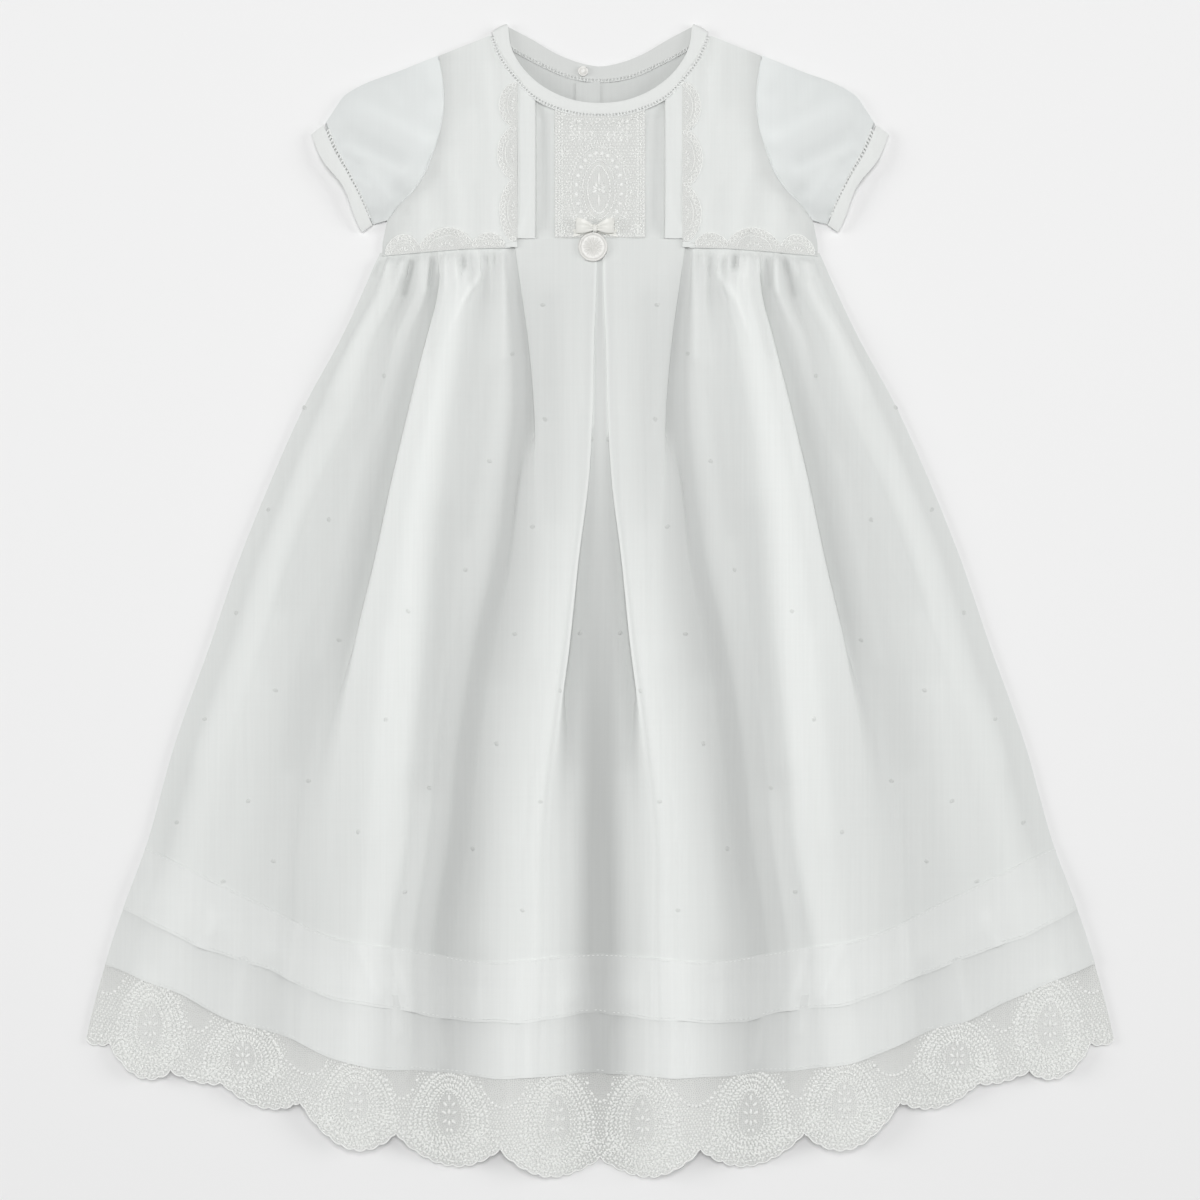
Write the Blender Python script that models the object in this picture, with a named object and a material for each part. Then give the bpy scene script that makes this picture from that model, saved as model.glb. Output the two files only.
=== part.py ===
# Baby christening gown in white dotted voile, laid flat with its panels on each other.
# X runs across the gown, Y from the hem towards the neck, Z up from the surface it lies on.
# Sizes below are in millimetres, and every point is turned into metres when a piece is built.

import math

import bpy
import numpy as np

for old in list(bpy.data.objects):
    bpy.data.objects.remove(old)

MILLIMETRE = 0.001
CLOTH = 1.0          # thickness of one cloth wall
TUCK = 1.2           # a tuck is two layers of thin cloth pressed together
BINDING = 1.4        # a folded binding
SEAM_GAP = 0.3       # clearance between pieces that are sewn together
BACK_TOP = 1.0       # top of the back panels, which lie flat on the surface
WAIST_Y = 197.8      # height of the waist seam in Y
SIDE_Z = 1.9         # middle of the front wall where it meets the back at the side seams
WAIST_HALF = 123.2   # half the flat width at the waist seam


# Curves and grids

def smooth(at, values, x):
    """A soft curve through the table (at, values), read at x."""
    at = np.asarray(at, float)
    values = np.asarray(values, float)
    x = np.clip(np.asarray(x, float), at[0], at[-1])
    slopes = np.gradient(values, at)
    i = np.clip(np.searchsorted(at, x, side="right") - 1, 0, len(at) - 2)
    step = at[i + 1] - at[i]
    t = (x - at[i]) / step
    start = (2 * t**3 - 3 * t**2 + 1) * values[i] + (t**3 - 2 * t**2 + t) * step * slopes[i]
    end = (-2 * t**3 + 3 * t**2) * values[i + 1] + (t**3 - t**2) * step * slopes[i + 1]
    return start + end


def lengths(points):
    """Distance along a line of points, from 0 to 1."""
    steps = np.linalg.norm(np.diff(points, axis=0), axis=1)
    total = np.concatenate([[0.0], np.cumsum(steps)])
    return total / total[-1]


def along(points, share):
    """The point at each share of the way along a line of points."""
    points = np.asarray(points, float)
    at = lengths(points)
    return np.stack([smooth(at, points[:, k], share) for k in range(points.shape[1])], axis=-1)


def along_straight(points, share):
    points = np.asarray(points, float)
    at = lengths(points)
    return np.stack([np.interp(share, at, points[:, k]) for k in range(points.shape[1])], axis=-1)


def patch(top, bottom, left, right, down):
    """A grid that fills four edge lines. Top and bottom are given point by point."""
    count = len(top)
    u = lengths(np.asarray(top))[None, :, None]
    v = np.asarray(down)[:, None, None]
    left = along(left, down)[:, None, :]
    right = along(right, down)[:, None, :]
    top = np.asarray(top)[None, :, :]
    bottom = np.asarray(bottom)[None, :, :]
    across = (1 - u) * left + u * right
    along_v = (1 - v) * top + v * bottom
    corners = (1 - v) * ((1 - u) * top[:, :1] + u * top[:, count - 1:])
    corners = corners + v * ((1 - u) * bottom[:, :1] + u * bottom[:, count - 1:])
    return across + along_v - corners


def mirrored(grid):
    """The same grid on the other side of the centre line."""
    grid = np.array(grid)
    grid[..., 0] *= -1
    return grid[:, ::-1]


def grid_normals(grid):
    across = np.gradient(grid, axis=1)
    down = np.gradient(grid, axis=0)
    normal = np.cross(down, across)
    normal /= np.linalg.norm(normal, axis=-1, keepdims=True)
    return np.where(normal[..., 2:] < 0, -normal, normal)


def offset_line(line, reach, closed=False):
    """Both sides of a wall whose middle runs through a line of (x, z) points."""
    line = np.asarray(line, float)
    if closed:
        before = np.roll(line, 1, axis=0)
        after = np.roll(line, -1, axis=0)
    else:
        before = np.vstack([2 * line[0] - line[1], line[:-1]])
        after = np.vstack([line[1:], 2 * line[-1] - line[-2]])
    first = line - before
    second = after - line
    first /= np.linalg.norm(first, axis=1, keepdims=True)
    second /= np.linalg.norm(second, axis=1, keepdims=True)
    side_a = np.stack([-first[:, 1], first[:, 0]], axis=1)
    side_b = np.stack([-second[:, 1], second[:, 0]], axis=1)
    mitre = side_a + side_b
    mitre /= np.maximum(1 + np.sum(side_a * side_b, axis=1, keepdims=True), 0.5)
    return line + reach * mitre, line - reach * mitre


# Materials and solids

def fabric(name, colour, roughness):
    made = bpy.data.materials.new(name)
    made.use_nodes = True
    shader = made.node_tree.nodes["Principled BSDF"]
    shader.inputs["Base Color"].default_value = (*colour, 1.0)
    shader.inputs["Roughness"].default_value = roughness
    shader.inputs["Metallic"].default_value = 0.0
    return made


def solid(name, upper, lower, material, ring=False):
    """One closed body between two grids of points. A ring also joins its last column to its first."""
    rows, columns = upper.shape[:2]
    points = np.concatenate([upper.reshape(-1, 3), lower.reshape(-1, 3)])
    under = rows * columns
    middle = (columns - 1) / 2
    last = columns if ring else columns - 1
    faces = []

    def quad(a, b, c, d, leaning):
        if leaning:
            faces.append((a, b, c))
            faces.append((a, c, d))
        else:
            faces.append((a, b, d))
            faces.append((b, c, d))

    for r in range(rows - 1):
        for c in range(last):
            after = (c + 1) % columns
            a = r * columns + c
            b = r * columns + after
            d = (r + 1) * columns + c
            e = (r + 1) * columns + after
            leaning = c < middle
            quad(a, b, e, d, leaning)
            quad(a + under, d + under, e + under, b + under, leaning)
    for c in range(last):
        after = (c + 1) % columns
        foot = (rows - 1) * columns
        quad(c, c + under, after + under, after, True)
        quad(foot + c, foot + after, foot + after + under, foot + c + under, True)
    if not ring:
        for r in range(rows - 1):
            a = r * columns
            b = (r + 1) * columns
            e = a + columns - 1
            f = b + columns - 1
            quad(a, b, b + under, a + under, True)
            quad(e, e + under, f + under, f, True)
    faces = np.array(faces)
    corners = points[faces]
    volume = np.sum(corners[:, 0] * np.cross(corners[:, 1], corners[:, 2]))
    if volume < 0:
        faces = faces[:, ::-1]
    mesh = bpy.data.meshes.new(name)
    mesh.from_pydata((points * MILLIMETRE).tolist(), [], faces.tolist())
    mesh.update()
    made = bpy.data.objects.new(name, mesh)
    made.data.materials.append(material)
    bpy.context.scene.collection.objects.link(made)
    return made


def sheet(name, grid, thickness, material):
    """A wall with the grid as its middle."""
    reach = grid_normals(grid) * thickness / 2
    return solid(name, grid + reach, grid - reach, material)


def plate(name, grid, bottom, top, material):
    """A flat wall whose undersides lie at one height."""
    upper = np.array(grid)
    lower = np.array(grid)
    upper[..., 2] = top
    lower[..., 2] = bottom
    return solid(name, upper, lower, material)


VOILE = fabric("white_dotted_voile", (0.86, 0.87, 0.85), 0.85)
SLEEVE_VOILE = fabric("white_sleeve_voile", (0.87, 0.88, 0.88), 0.85)
BINDING_COTTON = fabric("white_binding", (0.90, 0.91, 0.90), 0.80)
LACE = fabric("white_embroidered_net", (0.86, 0.87, 0.83), 0.85)
SATIN = fabric("ivory_satin_ribbon", (0.88, 0.87, 0.80), 0.40)
PEARL = fabric("pearl_shell", (0.87, 0.86, 0.81), 0.25)


# Skirt front
# Each fold runs from the waist seam to the hem. A table row holds one fold: how far it lies from
# the centre line, and how high the middle of the wall is there, at each distance below the seam.

BELOW_SEAM = (0, 25, 50, 85, 130, 175, 220, 280, 335, 390, 455, 515)

FOLD_ACROSS = {
    "slit_edge": (1.7, 2.3, 3.4, 4.2, 6.5, 12.1, 16.7, 24.3, 28, 28, 30, 31),
    "flap_ridge": (16, 16.9, 15.5, 14.7, 13.5, 17.0, 22, 30, 36.7, 37, 41, 42),
    "flap_edge": (47.7, 44.1, 40.7, 37.6, 36, 33, 33, 40, 46, 47, 52, 53),
    "deep_valley": (50.2, 47.4, 44.2, 42.6, 46.3, 53, 63.8, 73.5, 79.7, 88, 86, 86),
    "low_ridge": (55.4, 55.4, 55.4, 55.5, 59.9, 66, 76, 86, 91, 99, 100, 100),
    "low_valley": (64.4, 64.4, 65.6, 69, 70.5, 75, 84, 95, 100, 109, 111, 112),
    "high_ridge": (80, 78.5, 84.8, 91, 99.4, 104, 106, 110, 113, 124, 135, 137),
    "ridge_edge": (89.8, 91.5, 97.2, 105.7, 116.4, 126, 136.7, 147, 152, 153, 158, 160),
    "side_valley": (94.2, 94.8, 102, 112.5, 128.8, 143, 160, 171, 175, 180, 187, 189),
    "small_ridge": (99.4, 101.5, 113, 122, 141, 157, 173, 185, 192, 197, 205, 208),
    "small_valley": (104.5, 109.6, 119, 127, 150, 167, 183, 197, 208, 213, 221, 224),
    "side_ridge": (114, 119.8, 134, 147, 164, 181, 194, 215, 230, 243, 256, 262),
    "side_seam": (WAIST_HALF, 134, 145.8, 165, 185.3, 203.4, 218.7, 240, 255.4, 275, 291.5, 296),
}

FOLD_HEIGHT = {
    "centre": (2.1, 2.1, 2.2, 2.3, 2.4, 2.4, 2.4, 2.6, 3.0, 3.2, 3.2, 2.8),
    "slit_edge": (5.7, 6.2, 6.6, 7.2, 8, 9, 10.5, 11.5, 12, 12.5, 12.5, 10),
    "flap_ridge": (5.8, 6.8, 7.4, 8, 9, 10.4, 12.2, 14.5, 15.5, 15.5, 15, 12),
    "flap_edge": (5.6, 5.7, 5.8, 6.0, 7.5, 8.4, 10.6, 12.8, 13.6, 13.6, 13, 10),
    "deep_valley": (2.1, 2.1, 2.2, 2.3, 2.4, 2.6, 2.6, 2.8, 3.0, 3.2, 3.4, 3.0),
    "low_ridge": (4.2, 7.2, 8.2, 8.0, 7.0, 6.2, 5.6, 6.0, 6.2, 6.0, 6.0, 5.0),
    "low_valley": (3.2, 5.2, 6.4, 6.4, 6.4, 7.2, 8.2, 9.4, 9.5, 9.0, 9.0, 7.0),
    "high_ridge": (5.2, 11.5, 13.5, 15, 16.5, 17.5, 18, 18, 17.5, 17, 17, 13),
    "ridge_edge": (4.4, 8.5, 10.5, 12, 12.5, 12.5, 12, 11.5, 11.5, 12, 13, 10),
    "side_valley": (2.1, 2.3, 2.8, 3.0, 3.2, 3.4, 3.6, 3.8, 4.0, 4.2, 4.4, 3.8),
    "small_ridge": (4.0, 6.5, 6.5, 5.6, 5.2, 5.2, 5.4, 5.6, 5.8, 6.0, 6.0, 5.0),
    "small_valley": (2.4, 2.9, 4.4, 5.4, 6.6, 7.2, 7.4, 7.4, 7.2, 6.8, 6.6, 5.4),
    "side_ridge": (4.2, 7.5, 9.0, 9.5, 10, 10, 10, 9.8, 9.4, 8.8, 8.0, 6.0),
    "side_seam": (SIDE_Z,) * 12,
}

# How far the cloth turns back under a pleat edge. Below zero the pleat has opened into a slope.
TURNED_UNDER = {
    "slit_edge": (14, 14, 14, 14, 13, 11, 6, -7, -15, -15, -17, -17),
    "flap_edge": (9, 9, 9, 6, -8, -15, -22, -24, -24, -30, -26, -26),
    "ridge_edge": (-2.5, 4, 4, 4, 4, 3, 0, -8, -14, -14, -16, -16),
}

# Which way the under layer of each pleat goes, and the height that it comes down to
PLEAT_TURN = {
    "slit_edge": (1, "centre", 0.0),
    "flap_edge": (-1, "deep_valley", 1.4),
    "ridge_edge": (-1, "side_valley", 1.6),
}

LAYER_STEP = 1.7     # height from one layer of a closed pleat to the next

# Cross seams of the skirt: distance below the waist seam at each distance from the centre line
STITCH_LINE = ((0, 24, 63, 114, 150, 194, 254, 300), (397, 398, 401, 393, 387, 367, 338, 318))
UPPER_FOLD = ((0, 44, 86, 106, 151, 183, 202, 230, 268, 300),
              (430.5, 434, 434, 429, 421, 407.5, 400.5, 390.5, 372.5, 358))
LOWER_FOLD = ((0, 55, 84, 122, 148, 184, 206, 233, 259, 278, 300),
              (464, 466, 464, 461, 455, 441, 434.5, 421, 411, 403.5, 395))
LOWER_STITCH_ABOVE = 8.0    # the lower tuck's stitching lies this far above the upper fold
HEM_SEAM_ABOVE = 5.0        # the lace is sewn on this far above the lower fold

# Scallops of the hem lace: where each one starts and how far its belly hangs below its ends
SCALLOP_ENDS = ((0, 56.5, 114.7, 168.4, 211.9, 241.8, 276.9, 293),
                (512.5, 506.8, 497.8, 480.3, 470.6, 463.3, 448, 444.5))
SCALLOP_BELLY = (13, 14.7, 17, 8.5, 2.5, 11, 3)

FLAP_TOP = -5.6      # the two centre flaps start this far above the side parts of the seam
GATHER_TOP = ((48, 75, 95, 124), (-0.6, -0.2, 1.2, 3.6))


def fold_line(name, below):
    """The points of one fold at a distance below the seam: one, or four where cloth is pleated."""
    if name == "centre":
        return [(0.0, float(smooth(BELOW_SEAM, FOLD_HEIGHT["centre"], below)))]
    x = float(smooth(BELOW_SEAM, FOLD_ACROSS[name], below))
    z = float(smooth(BELOW_SEAM, FOLD_HEIGHT[name], below))
    if name not in TURNED_UNDER:
        return [(x, z)]
    turn, base, lift = PLEAT_TURN[name]
    under = float(smooth(BELOW_SEAM, TURNED_UNDER[name], below))
    opened = min(max((1.5 - under) / 5, 0.0), 1.0)
    foot_x = x + turn * under
    foot_z = float(smooth(BELOW_SEAM, FOLD_HEIGHT[base], below)) + lift * opened
    drop = z - foot_z
    step = min(LAYER_STEP, drop / 2)
    closed_points = [(x, z), (x, z - step), (foot_x, foot_z + step), (foot_x, foot_z)]
    open_points = [(x, z), (x + 0.28 * (foot_x - x), z - 0.3 * drop)]
    open_points.append((x + 0.72 * (foot_x - x), z - 0.75 * drop))
    open_points.append((foot_x, foot_z))
    mixed = []
    for shut, wide in zip(closed_points, open_points):
        mixed.append(tuple((1 - opened) * a + opened * b for a, b in zip(shut, wide)))
    return mixed if turn < 0 else mixed[::-1]


# Steps of the grid between each fold and the next
STEPS = (("centre", 2), ("slit_edge", 2), ("flap_ridge", 3), ("flap_edge", 2), ("deep_valley", 3),
         ("low_ridge", 2), ("low_valley", 3), ("high_ridge", 3), ("ridge_edge", 2),
         ("side_valley", 2), ("small_ridge", 2), ("small_valley", 3), ("side_ridge", 3),
         ("side_seam", 0))


def half_section(below):
    """(x, z) points of the skirt wall from the centre line to one side seam."""
    line = []
    for index, (name, steps) in enumerate(STEPS):
        points = fold_line(name, below)
        line.extend(points)
        if not steps:
            continue
        ahead = fold_line(STEPS[index + 1][0], below)[0]
        start = points[-1]
        for k in range(1, steps):
            t = k / steps
            ease = 0.5 - 0.5 * math.cos(math.pi * t)
            line.append((start[0] + t * (ahead[0] - start[0]), start[1] + ease * (ahead[1] - start[1])))
    return np.array(line)


HALF_COLUMNS = len(half_section(0.0))
SECTION_AT = np.arange(0.0, 516.0, 5.0)
SECTIONS = np.array([half_section(b) for b in SECTION_AT])
MIDDLES = []
OUTSIDES = []
INSIDES = []
for section in SECTIONS:
    whole = np.vstack([section[::-1] * (-1, 1), section[1:]])
    outer, inner = offset_line(whole, 1.0)
    MIDDLES.append(whole)
    OUTSIDES.append(outer)
    INSIDES.append(inner)
MIDDLES = np.array(MIDDLES)
NORMALS = np.array(OUTSIDES) - MIDDLES
COLUMNS = MIDDLES.shape[1]


def column_reading(values, column, below):
    """A value of one column of the skirt at a distance below the seam."""
    return np.interp(below, SECTION_AT, values[:, column])


def skirt_point(column, below, lift):
    """A point that stands off the middle of the skirt wall by lift, along the wall's own normal."""
    x = column_reading(MIDDLES[..., 0], column, below)
    z = column_reading(MIDDLES[..., 1], column, below)
    nx = column_reading(NORMALS[..., 0], column, below)
    nz = column_reading(NORMALS[..., 1], column, below)
    return (x + lift * nx, WAIST_Y - below, z + lift * nz)


def below_on(curve, column):
    """Where a column of the skirt crosses a seam that is drawn against distance from the centre."""
    below = 430.0
    for _ in range(6):
        x = abs(column_reading(MIDDLES[..., 0], column, below))
        below = float(curve(x))
    return below


def stitch_line(x):
    return smooth(*STITCH_LINE, x)


def upper_fold(x):
    return smooth(*UPPER_FOLD, x)


def lower_stitch(x):
    return upper_fold(x) - LOWER_STITCH_ABOVE


def lower_fold(x):
    return smooth(*LOWER_FOLD, x)


def middle_of_lower_tuck(x):
    return 0.5 * (upper_fold(x) + hem_seam(x))


def hem_seam(x):
    return lower_fold(x) - HEM_SEAM_ABOVE


def scalloped_hem(x):
    at, drop = SCALLOP_ENDS
    i = int(np.clip(np.searchsorted(at, x, side="right") - 1, 0, len(SCALLOP_BELLY) - 1))
    t = min(max((x - at[i]) / (at[i + 1] - at[i]), 0.0), 1.0)
    return np.interp(x, at, drop) + SCALLOP_BELLY[i] * math.sin(math.pi * t) ** 0.8


def seam_start(column):
    """Distance below the waist seam at which a column of the skirt starts."""
    x = abs(MIDDLES[0, column, 0])
    edge = FOLD_ACROSS["flap_edge"][0]
    position = abs(column - (COLUMNS - 1) // 2)
    on_flap = x <= edge + 0.01 and position <= HALF_COLUMNS - 1 and position <= FLAP_LAST
    return FLAP_TOP if on_flap else float(np.interp(x, *GATHER_TOP))


FLAP_LAST = 2 + 4 + 1 + 3 + 1   # columns from the centre line to the flap edge
TOP_SHARES = (0.0, 0.022, 0.06, 0.11, 0.17, 0.23, 0.268, 0.315, 0.4, 0.5, 0.61, 0.73, 0.86)
LAST_ROWS = (stitch_line, lower_stitch, upper_fold, middle_of_lower_tuck, hem_seam)


def skirt_rows(column):
    start = seam_start(column)
    first = below_on(stitch_line, column)
    rows = [start + share * (first - start) for share in TOP_SHARES]
    rows.extend(below_on(curve, column) for curve in LAST_ROWS)
    return rows


def skirt_grid(row_places, lifts):
    """Points over the skirt, row by row. Each row has its own lift off the middle of the wall."""
    grid = np.empty((len(lifts), COLUMNS, 3))
    for column in range(COLUMNS):
        places = row_places(column)
        for row, (below, lift) in enumerate(zip(places, lifts)):
            grid[row, column] = skirt_point(column, below, lift)
    return grid


SKIRT_ROW_COUNT = len(TOP_SHARES) + len(LAST_ROWS)
solid(
    "skirt_front",
    skirt_grid(skirt_rows, [CLOTH / 2] * SKIRT_ROW_COUNT),
    skirt_grid(skirt_rows, [-CLOTH / 2] * SKIRT_ROW_COUNT),
    VOILE,
)


# Two growth tucks round the hem, each a fold of the skirt cloth pressed down on the skirt.
# The upper one laps over the stitching of the lower one.

def lower_tuck_rows(column):
    places = [below_on(curve, column) for curve in (lower_stitch, upper_fold, middle_of_lower_tuck)]
    places[0] += SEAM_GAP
    places.append(below_on(hem_seam, column))
    places.append(below_on(lower_fold, column))
    return places


def upper_tuck_rows(column):
    places = [below_on(curve, column) for curve in (stitch_line, lower_stitch, upper_fold)]
    return places


ON_SKIRT = CLOTH / 2 + SEAM_GAP
ON_TUCK = ON_SKIRT + TUCK + SEAM_GAP
solid(
    "tuck_lower_front",
    skirt_grid(lower_tuck_rows, [ON_SKIRT + TUCK] * 5),
    skirt_grid(lower_tuck_rows, [ON_SKIRT] * 5),
    VOILE,
)
solid(
    "tuck_upper_front",
    skirt_grid(upper_tuck_rows, [ON_SKIRT + TUCK, ON_TUCK + TUCK, ON_TUCK + TUCK]),
    skirt_grid(upper_tuck_rows, [ON_SKIRT, ON_TUCK, ON_TUCK]),
    VOILE,
)


# Scalloped hem lace, sewn behind the lower tuck

def hem_lace_rows(column):
    top = below_on(hem_seam, column) + SEAM_GAP
    fold = below_on(lower_fold, column)
    edge = below_on(scalloped_hem, column)
    return [top, fold, fold + 0.35 * (edge - fold), fold + 0.7 * (edge - fold), edge]


solid(
    "hem_lace_front",
    skirt_grid(hem_lace_rows, [CLOTH / 2] * 5),
    skirt_grid(hem_lace_rows, [-CLOTH / 2] * 5),
    LACE,
)


# Skirt back and its lace, which lie flat on the surface under the front

BACK_SHARES = np.linspace(-1, 1, 31)
BACK_SEAM = 3.2      # the back skirt starts this far below the waist seam


def side_seam_at(below):
    return float(smooth(BELOW_SEAM, FOLD_ACROSS["side_seam"], below))


def back_grid(first, second, steps, shares):
    """A flat grid between two cross seams, as wide as the skirt front."""
    grid = np.zeros((len(steps), len(shares), 3))
    for column, share in enumerate(shares):
        for row, step in enumerate(steps):
            below = 430.0
            for _ in range(8):
                x = abs(share) * side_seam_at(below)
                below = first(x) + step * (second(x) - first(x))
            grid[row, column] = (math.copysign(x, share), WAIST_Y - below, 0.0)
    return grid


def back_waist(x):
    return BACK_SEAM


def back_hem_seam(x):
    return hem_seam(x) - 0.5


plate("skirt_back", back_grid(back_waist, back_hem_seam, np.linspace(0, 1, 7), BACK_SHARES),
      0.0, BACK_TOP, VOILE)
LACE_SHARES = np.linspace(-1, 1, 61)
plate("hem_lace_back", back_grid(hem_seam, scalloped_hem, (0.0, 1.0), LACE_SHARES),
      0.0, BACK_TOP, LACE)


# Bodice outlines, for the wearer's side that lies left of the centre line.
# X is the distance from the centre line, so the other side is its mirror image.

SHOULDER = ((-91.1, 306.9), (-76, 313.1), (-60.4, 319.2))
FRONT_NECK_OUTER = ((-60.4, 319.2), (-54.8, 305.1), (-48.0, 295.5), (-35.6, 283.1), (-22.6, 277.1),
                    (-11, 274.4), (0, 273.8))
FRONT_NECK_INNER = ((-52.0, 323.6), (-50.3, 311.9), (-41.8, 297.2), (-30.5, 287.6), (-17.5, 281.9),
                    (-8, 280.0), (0, 279.6))
BACK_NECK_TOP = ((-52.0, 323.6), (-39.5, 317), (-22.6, 307.4), (-9, 302.6), (0, 301.2))
BACK_NECK_LOWER = ((-60.4, 319.2), (-46.9, 310), (-33.3, 302.8), (-15.8, 295.5), (0, 293.6))
ARMHOLE_POINTS = ((-91.1, 306.9), (-88.1, 286.5), (-88.7, 271.8), (-92.7, 256), (-98.9, 240.1),
                  (-106.2, 230), (-114.7, 222), (-119.8, 214.7))
ARMHOLE = along(ARMHOLE_POINTS, np.linspace(0, 1, 12))
SIDE = ((-119.8, 214.7), (-122.6, 202.0), (-122.8, 194.9))
PLEAT_LINE = -46.6    # where the bodice side meets the centre piece
BODICE_Z = 6.8
ARMHOLE_Z = 5.0


def raised(points, heights):
    return np.array([(x, y, z) for (x, y), z in zip(points, heights)])


# Bodice front sides, from the armhole to the pleated centre

def outer_edge():
    """The armhole and the side under it, drawn in by the seam gap."""
    edge = np.vstack([ARMHOLE, SIDE[1:]])
    edge[:-2, 0] += SEAM_GAP
    return edge


def gather_seam(x):
    """Height in Y of the gathered seam at a distance from the centre line."""
    return WAIST_Y - float(np.interp(abs(x), *GATHER_TOP))


def bodice_side():
    edge = outer_edge()
    heights = smooth((0, 0.2, 0.45, 0.62, 0.82, 1.0),
                     (SIDE_Z, 4.2, ARMHOLE_Z, 4.4, SIDE_Z, SIDE_Z), lengths(edge))
    armhole = raised(edge, heights)
    shoulder = along_straight(raised(SHOULDER, (SIDE_Z, SIDE_Z, SIDE_Z)), np.linspace(0, 1, 5))
    shoulder[0] = armhole[0]
    neck_line = np.array(FRONT_NECK_OUTER[:5]) - (0.4, 0.8)
    neck_x = np.linspace(neck_line[0, 0], PLEAT_LINE, 6)[1:]
    neck_y = smooth(neck_line[:, 0], neck_line[:, 1], neck_x)
    neck_z = smooth((-61, -55, -48, -46), (SIDE_Z, 5.2, BODICE_Z, BODICE_Z), neck_x)
    neck = np.stack([neck_x, neck_y, neck_z], axis=1)
    top = np.vstack([shoulder, neck])
    foot = gather_seam(PLEAT_LINE) + SEAM_GAP + 0.1
    middle_line = np.array([top[-1], (PLEAT_LINE, 240, BODICE_Z), (PLEAT_LINE, foot, BODICE_Z)])
    bottom = []
    for share in lengths(top):
        x = float(armhole[-1, 0] + share * (PLEAT_LINE - armhole[-1, 0]))
        z = float(smooth((-124, -105, -85, -65, -46), (SIDE_Z, 3.2, 4.8, 6.2, BODICE_Z), x))
        bottom.append((x, gather_seam(x) + SEAM_GAP + 0.1, z))
    armhole[-1] = bottom[0]
    return patch(top, bottom, armhole, middle_line, lengths(edge))


BODICE_LEFT = bodice_side()
sheet("bodice_front_left", BODICE_LEFT, CLOTH, VOILE)
sheet("bodice_front_right", mirrored(BODICE_LEFT), CLOTH, VOILE)


# Bodice front centre, with one pleat folded on each side of the lace panel

PLEAT_EDGE = -36.5     # inner edge of the pleat
PLEAT_UNDER = 8.0      # how far it turns back
CENTRE_Z = 3.6
CENTRE_BOTTOM = 203.8


def centre_top(x):
    outer = np.array(FRONT_NECK_OUTER)
    return float(smooth(outer[:, 0], outer[:, 1], -abs(x))) - SEAM_GAP


def centre_section():
    start = PLEAT_LINE + SEAM_GAP
    face = CENTRE_Z + 2 * 1.65
    half = [(start, face), (start + 5, face + 0.2), (PLEAT_EDGE, face), (PLEAT_EDGE, face - 1.65)]
    half += [(PLEAT_EDGE - PLEAT_UNDER, CENTRE_Z + 1.65), (PLEAT_EDGE - PLEAT_UNDER, CENTRE_Z)]
    half += [(-30.0, CENTRE_Z), (-20.0, CENTRE_Z), (-10.0, CENTRE_Z), (0.0, CENTRE_Z)]
    half = np.array(half)
    return np.vstack([half, half[-2::-1] * (-1, 1)])


CENTRE_LINE = centre_section()
CENTRE_SIDES = offset_line(CENTRE_LINE, CLOTH / 2)


def centre_grid(side):
    grid = np.empty((6, len(side), 3))
    for column, (x, z) in enumerate(side):
        top = centre_top(x)
        for row, y in enumerate(np.linspace(top, CENTRE_BOTTOM, 6)):
            grid[row, column] = (x, y, z)
    return grid


solid("bodice_front_centre", centre_grid(CENTRE_SIDES[0]), centre_grid(CENTRE_SIDES[1]), VOILE)


# Embroidered lace panel sewn over the middle of the bodice

PANEL_HALF = 25.5
PANEL_BOTTOM = 203.8
PANEL_Z = CENTRE_Z + CLOTH + SEAM_GAP
panel_grid = np.empty((5, 9, 3))
for column, x in enumerate(np.linspace(-PANEL_HALF, PANEL_HALF, 9)):
    for row, y in enumerate(np.linspace(centre_top(x) - 0.2, PANEL_BOTTOM, 5)):
        panel_grid[row, column] = (x, y, PANEL_Z)
sheet("lace_panel", panel_grid, CLOTH, LACE)


# Scalloped lace edging down each side of the centre and along the waist seam

UPRIGHT_SCALLOPS = {
    -1: ((291.5, 266.1, 236.2, 200.8), (-53.7, -52.5, -55.4, -51.5), (8.5, 8.0, 7.5)),
    1: ((291.5, 263.9, 232.8, 200.8), (-51.5, -50.0, -52.5, -51.5), (7.0, 9.5, 8.5)),
}
EDGING_INNER = -46.9
WAIST_SCALLOPS = ((-121.5, -101.7, -72, -55.0), (206.2, 204.0, 206.0, 203.0), (8.0, 10.0, 2.5))
EDGING_LIFT = CLOTH / 2 + SEAM_GAP + CLOTH / 2


def bodice_height(x, y):
    """Height of the middle of the bodice side's wall, read from its grid."""
    near = np.linalg.norm(BODICE_LEFT[..., :2] - (x, y), axis=-1)
    order = np.argsort(near, axis=None)[:4]
    flat = BODICE_LEFT.reshape(-1, 3)[order]
    weights = 1.0 / (near.reshape(-1)[order] + 0.5) ** 2
    return float(np.sum(flat[:, 2] * weights) / np.sum(weights))


def scallop(at, values, bellies, x):
    """A scalloped edge: straight between its points, with a belly out from each part."""
    at = np.asarray(at, float)
    if at[0] > at[-1]:
        return scallop(at[::-1], values[::-1], bellies[::-1], x)
    i = int(np.clip(np.searchsorted(at, x, side="right") - 1, 0, len(bellies) - 1))
    t = min(max((x - at[i]) / (at[i + 1] - at[i]), 0.0), 1.0)
    return float(np.interp(x, at, values)), bellies[i] * math.sin(math.pi * t) ** 0.8


def upright_edging(side):
    at, values, bellies = UPRIGHT_SCALLOPS[side]
    grid = np.empty((22, 3, 3))
    for row, y in enumerate(np.linspace(at[0], at[-1], 22)):
        base, belly = scallop(at, values, bellies, y)
        outer = base - belly
        for column, x in enumerate((outer, (outer + EDGING_INNER) / 2, EDGING_INNER)):
            grid[row, column] = (x, y, bodice_height(x, y) + EDGING_LIFT + 0.2)
    return grid


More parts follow.
